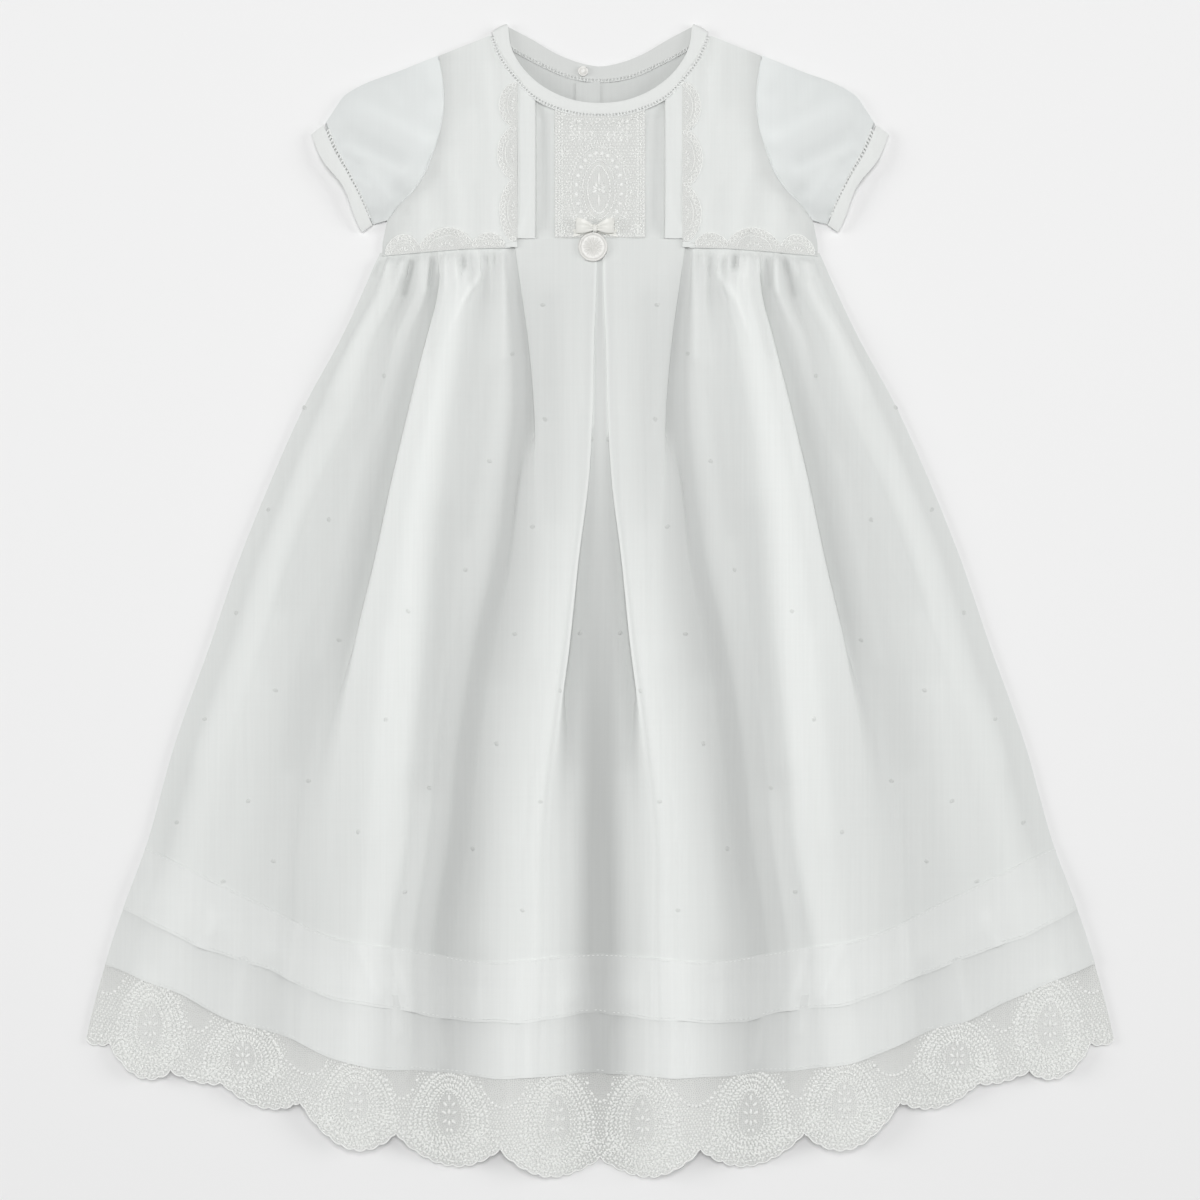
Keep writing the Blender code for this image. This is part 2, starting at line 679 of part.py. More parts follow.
def waist_edging():
    at, values, bellies = WAIST_SCALLOPS
    grid = np.empty((3, 18, 3))
    for column, x in enumerate(np.linspace(at[0], at[-1], 18)):
        base, belly = scallop(at, values, bellies, x)
        top = base + belly
        foot = float(np.interp(x, (-123, -108, -90, -55), (196.6, 196.2, 197.6, 199.2)))
        for row, y in enumerate((top, (top + foot) / 2, foot)):
            grid[row, column] = (x, y, bodice_height(x, y) + EDGING_LIFT + 0.2)
    return grid


sheet("edging_upright_left", upright_edging(-1), CLOTH, LACE)
sheet("edging_upright_right", mirrored(upright_edging(1)), CLOTH, LACE)
sheet("edging_waist_left", waist_edging(), CLOTH, LACE)
sheet("edging_waist_right", mirrored(waist_edging()), CLOTH, LACE)


# Neck binding: one band round the whole neckline, turned over at both shoulders

BACK_BAND_Z = BINDING / 2
TIP_BAND_Z = BACK_BAND_Z + BINDING + 0.6


def whole_curve(half):
    half = np.array(half)
    return np.vstack([half, half[-2::-1] * (-1, 1)])


def band_sections():
    """(neckline point, body point, normal) round the neck, front first."""
    sections = []
    shares = np.linspace(0, 1, 21)
    neckline = along(whole_curve(FRONT_NECK_INNER), shares)
    body = along(whole_curve(FRONT_NECK_OUTER), shares)
    rise = smooth((0, 0.12, 0.25, 0.4, 0.5), (TIP_BAND_Z, 4.6, 7.2, 6.0, 5.6),
                  np.minimum(shares, 1 - shares))
    for n, b, z in zip(neckline, body, rise):
        sections.append(((*n, z), (*b, z), (0, 0, 1)))
    tips = [(np.array(FRONT_NECK_INNER[0]), np.array(FRONT_NECK_OUTER[0]))]
    tips.append((tips[0][0] * (-1, 1), tips[0][1] * (-1, 1)))
    shoulder_way = tips[0][0] - tips[0][1]
    outward = np.array([-shoulder_way[1], shoulder_way[0]]) / np.linalg.norm(shoulder_way)
    turn = (BINDING + 0.6) / 2
    middle = (TIP_BAND_Z + BACK_BAND_Z) / 2
    folds = []
    for (n, b), way in zip(tips, (outward, outward * (-1, 1))):
        folds.append(((*(n + turn * way), middle), (*(b + turn * way), middle), (*way, 0)))
    sections.append(folds[1])
    shares = np.linspace(0, 1, 15)
    neckline = along(whole_curve(BACK_NECK_TOP), shares)[::-1]
    body = along(whole_curve(BACK_NECK_LOWER), shares)[::-1]
    for n, b in zip(neckline, body):
        sections.append(((*n, BACK_BAND_Z), (*b, BACK_BAND_Z), (0, 0, -1)))
    sections.append(folds[0])
    return sections


def band_grid(side):
    sections = band_sections()
    grid = np.empty((3, len(sections), 3))
    for column, (n, b, normal) in enumerate(sections):
        for row, share in enumerate((0.0, 0.5, 1.0)):
            point = (1 - share) * np.array(n) + share * np.array(b)
            grid[row, column] = point + side * BINDING / 2 * np.array(normal)
    return grid


solid("neck_binding", band_grid(1), band_grid(-1), BINDING_COTTON, ring=True)


# Bodice backs, flat on the surface, with the placket strip that laps over their opening

BACK_OPENING = -7.0


def bodice_back(limit, flip):
    edge = outer_edge()
    armhole = raised(edge, np.zeros(len(edge)))
    shoulder = along_straight(raised(SHOULDER, (0, 0, 0)), np.linspace(0, 1, 4))
    shoulder[0] = armhole[0]
    lower = np.array(BACK_NECK_LOWER) - (0.0, SEAM_GAP)
    lower = whole_curve(lower)
    neck_x = np.linspace(lower[0, 0], limit, 8)[1:]
    neck_y = smooth(lower[:, 0], lower[:, 1], neck_x)
    neck = np.stack([neck_x, neck_y, np.zeros(7)], axis=1)
    top = np.vstack([shoulder - (0, SEAM_GAP, 0), neck])
    armhole[0] = top[0]
    foot = WAIST_Y - BACK_SEAM + SEAM_GAP
    inner = np.array([top[-1], (limit, 240, 0), (limit, foot, 0)])
    bottom = along(np.array([armhole[-1], (-60, foot, 0), (limit, foot, 0)]), lengths(top))
    grid = patch(top, bottom, armhole, inner, lengths(edge))
    return mirrored(grid) if flip else grid


plate("bodice_back_left", bodice_back(BACK_OPENING - SEAM_GAP / 2, False), 0.0, BACK_TOP, VOILE)
plate("bodice_back_right", bodice_back(-BACK_OPENING - SEAM_GAP / 2, True), 0.0, BACK_TOP, VOILE)
placket = np.zeros((3, 3, 3))
for column, x in enumerate((-13.6, -6.8, 0.0)):
    for row, y in enumerate((292.0 - 0.6 * abs(x) / 13.6, 248.0, 206.5)):
        placket[row, column] = (x, y, BACK_TOP + SEAM_GAP + 0.4)
sheet("back_placket", placket, 0.8, VOILE)


# Sleeves: flattened tubes from the armhole to the cuff, puffed in front and flat behind

SLEEVE_TOP = ((-91.4, 307.0), (-113, 298.3), (-136.2, 289.3), (-143.5, 284.8), (-151, 274.5),
              (-155.6, 267.5))
SLEEVE_UNDER = ((-119.9, 214.4), (-124, 213.2), (-128.6, 212.0))
CUFF_SEAM = ((-155.6, 267.5), (-150, 254), (-141, 238), (-133.5, 223.5), (-128.6, 212.0))
CUFF_EDGE = ((-162.4, 262.2), (-157, 249), (-144.1, 232.2), (-137.3, 214.1), (-134.5, 207.9))
SLEEVE_SHARES = np.linspace(0, 1, len(ARMHOLE))


def tube(name, stations, puffs, wall, floor, material):
    """A flattened tube. Each station is a line across the front, from its upper to its lower fold."""
    outers = []
    inners = []
    for line, (rise, puff) in zip(stations, puffs):
        steps = np.linalg.norm(np.diff(line, axis=0), axis=1)
        run = np.concatenate([[0.0], np.cumsum(steps)])
        shares = run / run[-1]
        turn = (rise - floor) / 2
        reach = turn + wall / 2
        places = np.clip(run, reach, run[-1] - reach)
        front = np.stack([places, rise + puff * np.sin(np.pi * shares) ** 0.8], axis=1)
        back = np.stack([places[::-1], np.full(len(places), floor)], axis=1)
        ends = [(run[-1] - reach + turn, (rise + floor) / 2)]
        starts = [(reach - turn, (rise + floor) / 2)]
        path = np.vstack([front, ends, back, starts])
        for side, kept in zip(offset_line(path, wall / 2, closed=True), (outers, inners)):
            x = np.interp(side[:, 0], run, line[:, 0])
            y = np.interp(side[:, 0], run, line[:, 1])
            before = np.minimum(side[:, 0], 0.0)
            beyond = np.maximum(side[:, 0] - run[-1], 0.0)
            first_way = (line[1] - line[0]) / steps[0]
            last_way = (line[-1] - line[-2]) / steps[-1]
            x = x + before * first_way[0] + beyond * last_way[0]
            y = y + before * first_way[1] + beyond * last_way[1]
            kept.append(np.stack([x, y, side[:, 1]], axis=1))
    return solid(name, np.array(outers), np.array(inners), material, ring=True)


def sleeve_stations(flip):
    armhole = ARMHOLE - (SEAM_GAP, 0)
    cuff = along(np.array(CUFF_SEAM), SLEEVE_SHARES)
    armhole[0] = SLEEVE_TOP[0]
    armhole[-1] = SLEEVE_UNDER[0]
    flat = patch(armhole, cuff, SLEEVE_TOP, SLEEVE_UNDER, np.linspace(0, 1, 7))
    return flat * (-1, 1) if flip else flat


def cuff_stations(flip):
    inner = along(np.array(CUFF_SEAM), SLEEVE_SHARES)
    outer = along(np.array(CUFF_EDGE), SLEEVE_SHARES)
    way = (outer - inner) / np.linalg.norm(outer - inner, axis=1, keepdims=True)
    rows = [inner + SEAM_GAP * way, inner + 0.55 * (outer - inner), outer]
    rows = np.array(rows)
    return rows * (-1, 1) if flip else rows


SLEEVE_PUFFS = ((2.6, 2.6), (2.6, 5.0), (2.6, 6.4), (2.6, 6.6), (2.6, 6.0), (2.6, 5.0), (3.0, 4.2))
CUFF_PUFFS = ((3.0, 4.2), (3.0, 4.0), (3.0, 3.8))
for side_name, flipped in (("left", False), ("right", True)):
    tube("sleeve_" + side_name, sleeve_stations(flipped), SLEEVE_PUFFS, CLOTH, CLOTH / 2, SLEEVE_VOILE)
    tube("cuff_" + side_name, cuff_stations(flipped), CUFF_PUFFS, BINDING, BINDING / 2, BINDING_COTTON)


# Small satin bow on the lower edge of the lace panel

BOW_X = -2.8
BOW_Y = 209.2
BOW_Z = PANEL_Z + CLOTH / 2 + SEAM_GAP
RIBBON = 0.8


def bow_loop(name, way):
    """One loop: a ribbon that leaves the knot, turns at the tip and comes back under itself."""
    path = np.array([(1.6, 2.6), (4.5, 3.6), (8.5, 3.9), (11.6, 3.2), (12.4, 1.9), (11.2, 0.8),
                     (8.0, 0.45), (4.5, 0.5), (1.6, 0.8)])
    half_width = np.array([1.6, 2.6, 3.6, 4.0, 4.0, 3.8, 3.2, 2.4, 1.6])
    upper, lower = offset_line(path, RIBBON / 2)
    grids = []
    for side in (upper, lower):
        grid = np.empty((3, len(path), 3))
        for row, share in enumerate((-1.0, 0.0, 1.0)):
            grid[row, :, 0] = BOW_X + way * side[:, 0]
            grid[row, :, 1] = BOW_Y + share * half_width + 0.10 * side[:, 0]
            grid[row, :, 2] = BOW_Z + side[:, 1]
        grids.append(grid)
    solid(name, grids[0], grids[1], SATIN)


bow_loop("bow_loop_left", -1)
bow_loop("bow_loop_right", 1)


def rounded_block(name, half_sizes, centre, material, segments=12):
    """A soft pillow-shaped knot: three rings, drawn in at the ends."""
    hx, hy, hz = half_sizes
    around = np.linspace(0, 2 * np.pi, segments, endpoint=False)
    rings = []
    for share, width in ((-1.0, 0.55), (-0.6, 0.92), (0.0, 1.0), (0.6, 0.92), (1.0, 0.55)):
        ring = np.stack([hx * width * np.cos(around), np.full(segments, hy * share),
                         hz * width * np.sin(around)], axis=1)
        rings.append(ring + np.array(centre))
    rings = np.array(rings)
    points = np.vstack([rings.reshape(-1, 3), rings[0].mean(axis=0), rings[-1].mean(axis=0)])
    faces = []
    count = len(rings)
    for r in range(count - 1):
        for c in range(segments):
            after = (c + 1) % segments
            a = r * segments + c
            b = r * segments + after
            faces.append((a, b, b + segments))
            faces.append((a, b + segments, a + segments))
    first = count * segments
    for c in range(segments):
        after = (c + 1) % segments
        faces.append((first, after, c))
        faces.append((first + 1, (count - 1) * segments + c, (count - 1) * segments + after))
    faces = np.array(faces)
    corners = points[faces]
    if np.sum(corners[:, 0] * np.cross(corners[:, 1], corners[:, 2])) < 0:
        faces = faces[:, ::-1]
    mesh = bpy.data.meshes.new(name)
    mesh.from_pydata((points * MILLIMETRE).tolist(), [], faces.tolist())
    made = bpy.data.objects.new(name, mesh)
    made.data.materials.append(material)
    bpy.context.scene.collection.objects.link(made)


rounded_block("bow_knot", (1.2, 1.9, 1.5), (BOW_X, BOW_Y, BOW_Z + 1.6), SATIN)


# Round pearl medal that hangs from the bow

MEDAL_RADIUS = 8.3
MEDAL_CENTRE = (-4.0, 198.6)
MEDAL_RINGS = ((0.0, 1.3), (0.55, 1.3), (0.78, 1.1), (0.84, 1.5), (1.0, 1.3), (1.0, 0.3), (0.92, 0.0),
               (0.5, 0.0), (0.0, 0.0))
MEDAL_Z = 6.6


def turned(name, rings, radius, centre, z, material, segments=24):
    """A round body from (share of radius, height) rings."""
    around = np.linspace(0, 2 * np.pi, segments, endpoint=False)
    points = [(centre[0], centre[1], z + rings[0][1])]
    for share, height in rings[1:-1]:
        for angle in around:
            points.append((centre[0] + radius * share * math.cos(angle),
                           centre[1] + radius * share * math.sin(angle), z + height))
    points.append((centre[0], centre[1], z + rings[-1][1]))
    faces = []
    count = len(rings) - 2
    for c in range(segments):
        after = (c + 1) % segments
        faces.append((0, 1 + c, 1 + after))
        for r in range(count - 1):
            a = 1 + r * segments + c
            b = 1 + r * segments + after
            faces.append((a, a + segments, b + segments))
            faces.append((a, b + segments, b))
        base = 1 + (count - 1) * segments
        faces.append((len(points) - 1, base + after, base + c))
    mesh = bpy.data.meshes.new(name)
    mesh.from_pydata((np.array(points) * MILLIMETRE).tolist(), [], faces)
    made = bpy.data.objects.new(name, mesh)
    made.data.materials.append(material)
    bpy.context.scene.collection.objects.link(made)


turned("medal", MEDAL_RINGS, MEDAL_RADIUS, MEDAL_CENTRE, MEDAL_Z, PEARL)


# Small button on the inside of the back neck

BUTTON_RINGS = ((0.0, 1.3), (0.6, 1.2), (1.0, 0.8), (1.0, 0.2), (0.7, 0.0), (0.0, 0.0))
turned("back_button", BUTTON_RINGS, 2.9, (-9.6, 298.3), BINDING + SEAM_GAP, PEARL, segments=12)
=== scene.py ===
import math

import bpy
import numpy as np
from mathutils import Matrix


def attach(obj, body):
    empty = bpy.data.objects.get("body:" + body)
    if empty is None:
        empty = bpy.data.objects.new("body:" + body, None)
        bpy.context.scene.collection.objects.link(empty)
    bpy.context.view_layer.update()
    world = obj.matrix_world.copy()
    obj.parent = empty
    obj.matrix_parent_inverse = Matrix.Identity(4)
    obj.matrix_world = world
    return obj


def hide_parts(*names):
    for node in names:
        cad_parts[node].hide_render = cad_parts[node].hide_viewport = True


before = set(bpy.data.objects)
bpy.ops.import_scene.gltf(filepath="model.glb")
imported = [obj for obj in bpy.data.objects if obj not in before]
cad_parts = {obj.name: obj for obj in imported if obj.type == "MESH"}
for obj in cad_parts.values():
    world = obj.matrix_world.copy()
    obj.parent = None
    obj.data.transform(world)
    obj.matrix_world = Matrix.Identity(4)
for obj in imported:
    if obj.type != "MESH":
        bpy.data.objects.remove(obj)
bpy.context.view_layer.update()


# Table, camera and light
# The gown lies on a pale matt table. The camera looks straight down on it, under one soft lamp
# above and a wider one at each side. Sizes in metres here.

VIEW_ACROSS = 0.678
CAMERA_HEIGHT = 1.6
SENSOR = 36.0
TABLE_HALF = 4.0
TABLE_Z = -0.0003
TABLE_COLOUR = (0.866, 0.866, 0.866, 1.0)
ROOM_LIGHT = 0.19
# Lamps: place, width, power
LAMPS = {"lamp_above": ((0.0, 0.4, 2.7), 1.3, 45.0), "lamp_left": ((-3.4, 0.3, 1.7), 2.0, 42.0),
         "lamp_right": ((3.4, 0.3, 1.7), 2.0, 42.0)}


def placed(name, data, place=(0.0, 0.0, 0.0)):
    """A new object in the scene."""
    thing = bpy.data.objects.new(name, data)
    thing.location = place
    bpy.context.scene.collection.objects.link(thing)
    return thing


def finished(name, settings):
    """A material with each setting on its own socket of the shader."""
    made = bpy.data.materials.new(name)
    made.use_nodes = True
    for socket, value in settings.items():
        made.node_tree.nodes["Principled BSDF"].inputs[socket].default_value = value
    return made


lens = bpy.data.cameras.new("camera")
lens.sensor_width = SENSOR
lens.lens = SENSOR * CAMERA_HEIGHT / VIEW_ACROSS
bpy.context.scene.camera = placed("camera", lens, (0.0, 0.0, CAMERA_HEIGHT))
bpy.context.scene.view_settings.view_transform = "Standard"
for name, (place, across, power) in LAMPS.items():
    glow = bpy.data.lights.new(name, "AREA")
    glow.shape = "DISK"
    glow.size = across
    glow.energy = power
    way = 0.0 - np.array(place)
    placed(name, glow, place).rotation_euler = (math.acos(-way[2] / np.linalg.norm(way)), 0.0,
                                                math.atan2(way[1], way[0]) + math.pi / 2 + math.pi)
world = bpy.data.worlds.new("studio")
world.use_nodes = True
world.node_tree.nodes["Background"].inputs["Color"].default_value = (1.0, 1.0, 1.0, 1.0)
world.node_tree.nodes["Background"].inputs["Strength"].default_value = ROOM_LIGHT
bpy.context.scene.world = world

table_top = bpy.data.meshes.new("table")
corners = [(x * TABLE_HALF, y * TABLE_HALF, TABLE_Z) for x, y in ((-1, -1), (1, -1), (1, 1), (-1, 1))]
table_top.from_pydata(corners, [], [(0, 1, 2, 3)])
table_top.materials.append(finished("table_paint", {"Base Color": TABLE_COLOUR, "Roughness": 0.95,
                                                    "Specular IOR Level": 0.0}))
placed("table", table_top)


# Skirt front
# White cotton voile, gathered into the high waist at both sides. In the middle an inverted box
# pleat lies between two flaps. Each table row is one fold: how far it lies from the centre line,
# and how high the cloth is there, at each distance below the waist seam. Sizes in millimetres.

MILLIMETRE = 0.001
WAIST_Y = 197.8
BELOW_SEAM = (0, 25, 50, 85, 130, 175, 220, 280, 335, 390, 455, 515)
FOLD_ACROSS = {
    "centre": (0,) * 12,
    "slit_edge": (1.7, 2.3, 3.4, 4.2, 6.5, 12.1, 16.7, 24.3, 28, 28, 30, 31),
    "flap_ridge": (16, 16.9, 15.5, 14.7, 13.5, 17.0, 22, 30, 36.7, 37, 41, 42),
    "flap_edge": (47.7, 44.1, 40.7, 37.6, 36, 33, 33, 40, 46, 47, 52, 53),
    "deep_valley": (50.2, 47.4, 44.2, 42.6, 46.3, 53, 63.8, 73.5, 79.7, 88, 86, 86),
    "low_ridge": (55.4, 55.4, 55.4, 55.5, 59.9, 66, 76, 86, 91, 99, 100, 100),
    "low_valley": (64.4, 65, 68, 73, 77, 82, 88, 97, 102, 110, 112, 113),
    "high_ridge": (80, 78.5, 84.8, 91, 99.4, 104, 106, 110, 113, 124, 135, 137),
    "ridge_edge": (89.8, 91.5, 97.2, 105.7, 116.4, 126, 136.7, 147, 152, 153, 158, 160),
    "side_valley": (94.2, 94.8, 102, 112.5, 128.8, 143, 160, 171, 175, 180, 187, 189),
    "small_ridge": (99.4, 101.5, 113, 122, 141, 157, 173, 185, 192, 197, 205, 208),
    "small_valley": (104.5, 109.6, 119, 127, 150, 167, 183, 197, 208, 213, 221, 224),
    "side_ridge": (114, 119.8, 134, 147, 164, 181, 194, 215, 230, 243, 256, 262),
    "side_seam": (123.2, 134, 145.8, 165, 185.3, 203.4, 218.7, 240, 255.4, 275, 291.5, 296),
}
FOLD_HEIGHT = {
    "centre": (4.4, 4.7, 5.0, 5.6, 5.2, 4.2, 3.6, 3.2, 2.9, 2.6, 2.4, 2.2),
    "slit_edge": (5.7, 6.2, 6.6, 7.2, 8, 9, 10.0, 10.6, 11, 11.2, 11.2, 9),
    "flap_ridge": (5.8, 6.8, 7.4, 8, 9, 10.2, 11.6, 12.9, 13.6, 13.6, 13.4, 11),
    "flap_edge": (5.6, 5.7, 5.8, 6.0, 7.5, 8.4, 10.2, 11.8, 12.6, 12.8, 12.4, 10),
    "deep_valley": (3.9, 3.7, 3.4, 3.1, 2.8, 2.7, 2.7, 2.8, 3.0, 3.2, 3.4, 3.0),
    "low_ridge": (4.2, 7.2, 8.2, 8.2, 8.0, 7.7, 7.2, 6.8, 6.4, 6.0, 6.0, 5.0),
    "low_valley": (3.2, 5.4, 6.8, 7.4, 7.8, 8.2, 8.8, 9.6, 9.8, 9.4, 9.2, 7.2),
    "high_ridge": (5.2, 11.5, 13.5, 15, 16.5, 17.3, 17.4, 16.4, 15.2, 14.2, 13.6, 11),
    "ridge_edge": (4.4, 8.5, 10.5, 12, 12.5, 12.5, 12, 11.3, 10.9, 10.8, 10.8, 9),
    "side_valley": (3.0, 4.2, 5.0, 5.4, 5.7, 6.0, 6.2, 6.5, 6.9, 7.0, 6.8, 5.6),
    "small_ridge": (4.0, 6.5, 6.8, 6.4, 6.4, 6.7, 7.0, 7.3, 7.5, 7.5, 7.2, 5.8),
    "small_valley": (2.4, 2.9, 4.6, 5.8, 6.6, 7.2, 7.4, 7.4, 7.3, 7.0, 6.8, 5.6),
    "side_ridge": (4.2, 7.5, 9.0, 9.3, 9.4, 9.2, 9.0, 8.8, 8.5, 8.2, 7.6, 6.0),
    "side_seam": (1.9,) * 12,
}
TURNED_UNDER = {
    "slit_edge": (14, 14, 14, 14, 13, 11, 6, -7, -15, -15, -17, -17),
    "flap_edge": (9, 9, 9, 6, -8, -15, -22, -24, -24, -30, -26, -26),
    "ridge_edge": (-2.5, 4, 4, 4, 4, 3, 0, -8, -14, -14, -16, -16),
}
PLEAT_TURN = {"slit_edge": (1, "centre", 0.0), "flap_edge": (-1, "deep_valley", 1.4),
              "ridge_edge": (-1, "side_valley", 1.6)}
LAYER_STEP = 1.7
VOILE_THICKNESS = 0.45
LOWEST_CLOTH = 1.35
SECTION_STEP = 5.0
SKIRT_DEEP = 530.0
FOLD_RANGE = 7.0


def smooth(at, values, x):
    """A soft curve through the table (at, values), read at x."""
    at = np.asarray(at, float)
    values = np.asarray(values, float)
    x = np.clip(np.asarray(x, float), at[0], at[-1])
    slopes = np.gradient(values, at)
    i = np.clip(np.searchsorted(at, x, side="right") - 1, 0, len(at) - 2)
    step = at[i + 1] - at[i]
    t = (x - at[i]) / step
    start = (2 * t**3 - 3 * t**2 + 1) * values[i] + (t**3 - 2 * t**2 + t) * step * slopes[i]
    end = (-2 * t**3 + 3 * t**2) * values[i + 1] + (t**3 - t**2) * step * slopes[i + 1]
    return start + end


def fold_points(name, below):
    """One point for a soft fold, four where the cloth turns back under a pleat edge."""
    x = float(smooth(BELOW_SEAM, FOLD_ACROSS[name], below))
    z = float(smooth(BELOW_SEAM, FOLD_HEIGHT[name], below))
    if name not in TURNED_UNDER:
        return [(x, z)]
    turn, base, lift = PLEAT_TURN[name]
    under = float(smooth(BELOW_SEAM, TURNED_UNDER[name], below))
    opened = min(max((1.5 - under) / 5, 0.0), 1.0)
    foot_x = x + turn * under
    foot_z = float(smooth(BELOW_SEAM, FOLD_HEIGHT[base], below)) + lift * opened
    drop = z - foot_z
    step = min(LAYER_STEP, drop / 2)
    shut = np.array([(x, z), (x, z - step), (foot_x, foot_z + step), (foot_x, foot_z)])
    wide = np.array([(x, z), (x + 0.28 * (foot_x - x), z - 0.3 * drop),
                     (x + 0.72 * (foot_x - x), z - 0.75 * drop), (foot_x, foot_z)])
    mixed = (1 - opened) * shut + opened * wide
    return list(mixed if turn < 0 else mixed[::-1])


def rounded(line):
    """Every corner of a line cut twice, which leaves soft folds."""
    for _ in range(2):
        cut = np.empty((2 * len(line) - 2, line.shape[1]))
        cut[0::2] = 0.75 * line[:-1] + 0.25 * line[1:]
        cut[1::2] = 0.25 * line[:-1] + 0.75 * line[1:]
        line = np.vstack([line[:1], cut, line[-1:]])
    return line


def skirt_section(below):
    """(x, z) across the whole skirt, from the wearer's right side seam to the left one."""
    half = []
    names = list(FOLD_ACROSS)
    for name, ahead in zip(names, names[1:] + [None]):
        points = fold_points(name, below)
        half.extend(points)
        if ahead is not None:
            following = np.array(fold_points(ahead, below)[0])
            for share in np.array([(0.38, 0.24), (0.62, 0.76)]):
                half.append((1 - share) * points[-1] + share * following)
    half = np.array(half)
    return rounded(np.vstack([half[::-1] * (-1, 1), half[1:]]))


def travel(points):
    """How far along a line of points each of them is."""
    return np.concatenate([[0.0], np.cumsum(np.linalg.norm(np.diff(points, axis=0), axis=1))])


SECTIONS = np.array([skirt_section(b) for b in np.arange(0.0, SKIRT_DEEP, SECTION_STEP)])
COLUMNS = SECTIONS.shape[1]
ACROSS = np.gradient(SECTIONS, axis=1)
ACROSS /= np.linalg.norm(ACROSS, axis=-1, keepdims=True)
OUTWARD = np.stack([-ACROSS[..., 1], ACROSS[..., 0]], axis=-1)
MIDDLE_ROW = 56
CLOTH_RUN = travel(SECTIONS[MIDDLE_ROW])
CLOTH_RUN -= CLOTH_RUN[-1] / 2
WAIST_RUN = SECTIONS[0, :, 0]


def read_section(values, column, below):
    """A value of the sections at whole columns and any distance below the seam."""
    place = np.clip(np.asarray(below) / SECTION_STEP, 0, len(SECTIONS) - 1.001)
    row = place.astype(int)
    share = (place - row)[..., None]
    return (1 - share) * values[row, column] + share * values[row + 1, column]


def ease(t):
    """A soft step from 0 to 1."""
    t = np.clip(t, 0, 1)
    return t * t * (3 - 2 * t)


TOP_ACROSS = np.arange(-300.0, 301.0)
LEVEL_WIDTH = 34.0


def top_layers():
    """The height of the highest layer at each millimetre across every section."""
    tops = np.full((len(SECTIONS), len(TOP_ACROSS)), LOWEST_CLOTH)
    for row, line in enumerate(SECTIONS):
        for start, end in zip(line[:-1], line[1:]):
            (x0, z0), (x1, z1) = (start, end) if start[0] < end[0] else (end, start)
            first, last = np.searchsorted(TOP_ACROSS, (x0, x1))
            between = z0 + (TOP_ACROSS[first:last] - x0) / max(x1 - x0, 1e-6) * (z1 - z0)
            tops[row, first:last] = np.maximum(tops[row, first:last], between)
    return tops


TOPS = top_layers()
# The broad level of the folds, which the painted shade is measured from
nearness = np.exp(-0.5 * (TOP_ACROSS / LEVEL_WIDTH) ** 2)
LEVELS = np.array([np.convolve(row, nearness / nearness.sum(), "same") for row in TOPS])


def read_grid(values, x, below):
    """A value of the grid of top layers at any place."""
    row = np.clip(np.asarray(below) / SECTION_STEP, 0, len(values) - 1.001)
    column = np.clip(np.asarray(x) - TOP_ACROSS[0], 0, len(TOP_ACROSS) - 1.001)
    r, c = row.astype(int), column.astype(int)
    down, aside = row - r, column - c
    near = (1 - aside) * values[r, c] + aside * values[r, c + 1]
    far = (1 - aside) * values[r + 1, c] + aside * values[r + 1, c + 1]
    return (1 - down) * near + down * far


# Small folds pressed into the cloth. Each row: its two ends, from the centre and below the seam,
# its width and its height.
WAIST_CREASES = (
    (121, 1, 124, 14, 1.5, -0.7), (117.5, 0, 120, 15, 1.5, 0.8), (113, 1, 116, 18, 1.4, -0.7),
    (108, 0, 111, 14, 1.7, 0.7), (103.6, 1, 110, 25, 2.0, -1.2), (98.8, 0, 99.6, 24, 2.0, 1.0),
    (93.8, 1, 95.4, 20, 1.7, -0.9), (87.5, 0, 87, 20, 2.0, 0.5), (82.2, 4, 81.4, 15, 2.6, 1.0),
    (76.8, 2.5, 76.2, 10, 1.8, -2.5), (64.3, 0, 64.6, 9, 0.9, 0.7), (61.2, 0, 61.4, 8, 0.9, 0.7),
    (58.2, 0, 58.2, 8, 0.9, 0.7), (53.6, 1, 53.4, 60, 1.9, 0.8), (90.0, 16, 96, 60, 2.4, -0.7),
)
CURL = ((70.4, 0), (67.6, 5), (66.8, 9.5), (67.6, 14.5), (70, 19), (73.4, 23.5), (77, 30), (80.5, 40),
        (84.8, 52))
CURL_HIGH, CURL_WIDE = 2.0, 1.9
LONG_CREASES = (
    (27, 30, 25, 150, 7, -0.9), (36, 10, 31, 110, 4, 0.5), (9, 5, 9.5, 90, 3, 0.5),
    (60, 70, 74, 160, 4, -0.7), (88, 150, 96, 300, 9, -1.0), (120, 220, 128, 330, 7, 0.9),
    (106, 300, 118, 400, 8, -1.0), (135, 120, 158, 230, 5, 0.8), (150, 90, 178, 200, 7, -1.1),
    (190, 250, 215, 380, 9, 0.9), (232, 300, 252, 400, 8, -0.9), (60, 250, 66, 390, 8, 0.9),
    (38, 240, 47, 400, 6, -0.7), (175, 300, 184, 395, 6, 0.8), (14, 300, 15, 420, 6, 0.8),
)


def gap_to(line, across, down):
    """The square of the distance to the nearest part of a line of points."""
    nearest = np.full(np.broadcast(across, down).shape, 1e6)
    for (x0, b0), (x1, b1) in zip(line[:-1], line[1:]):
        dx = x1 - x0
        db = b1 - b0
        t = np.clip(((across - x0) * dx + (down - b0) * db) / (dx * dx + db * db), 0, 1)
        nearest = np.minimum(nearest, (across - x0 - t * dx) ** 2 + (down - b0 - t * db) ** 2)
    return nearest


def pressed(across, down, creases):
    """How far small folds raise or sink the cloth."""
    total = np.zeros(np.broadcast(across, down).shape)
    for x0, b0, x1, b1, wide, high in creases:
        total += high * np.exp(-gap_to(((x0, b0), (x1, b1)), across, down) / wide**2)
    return total


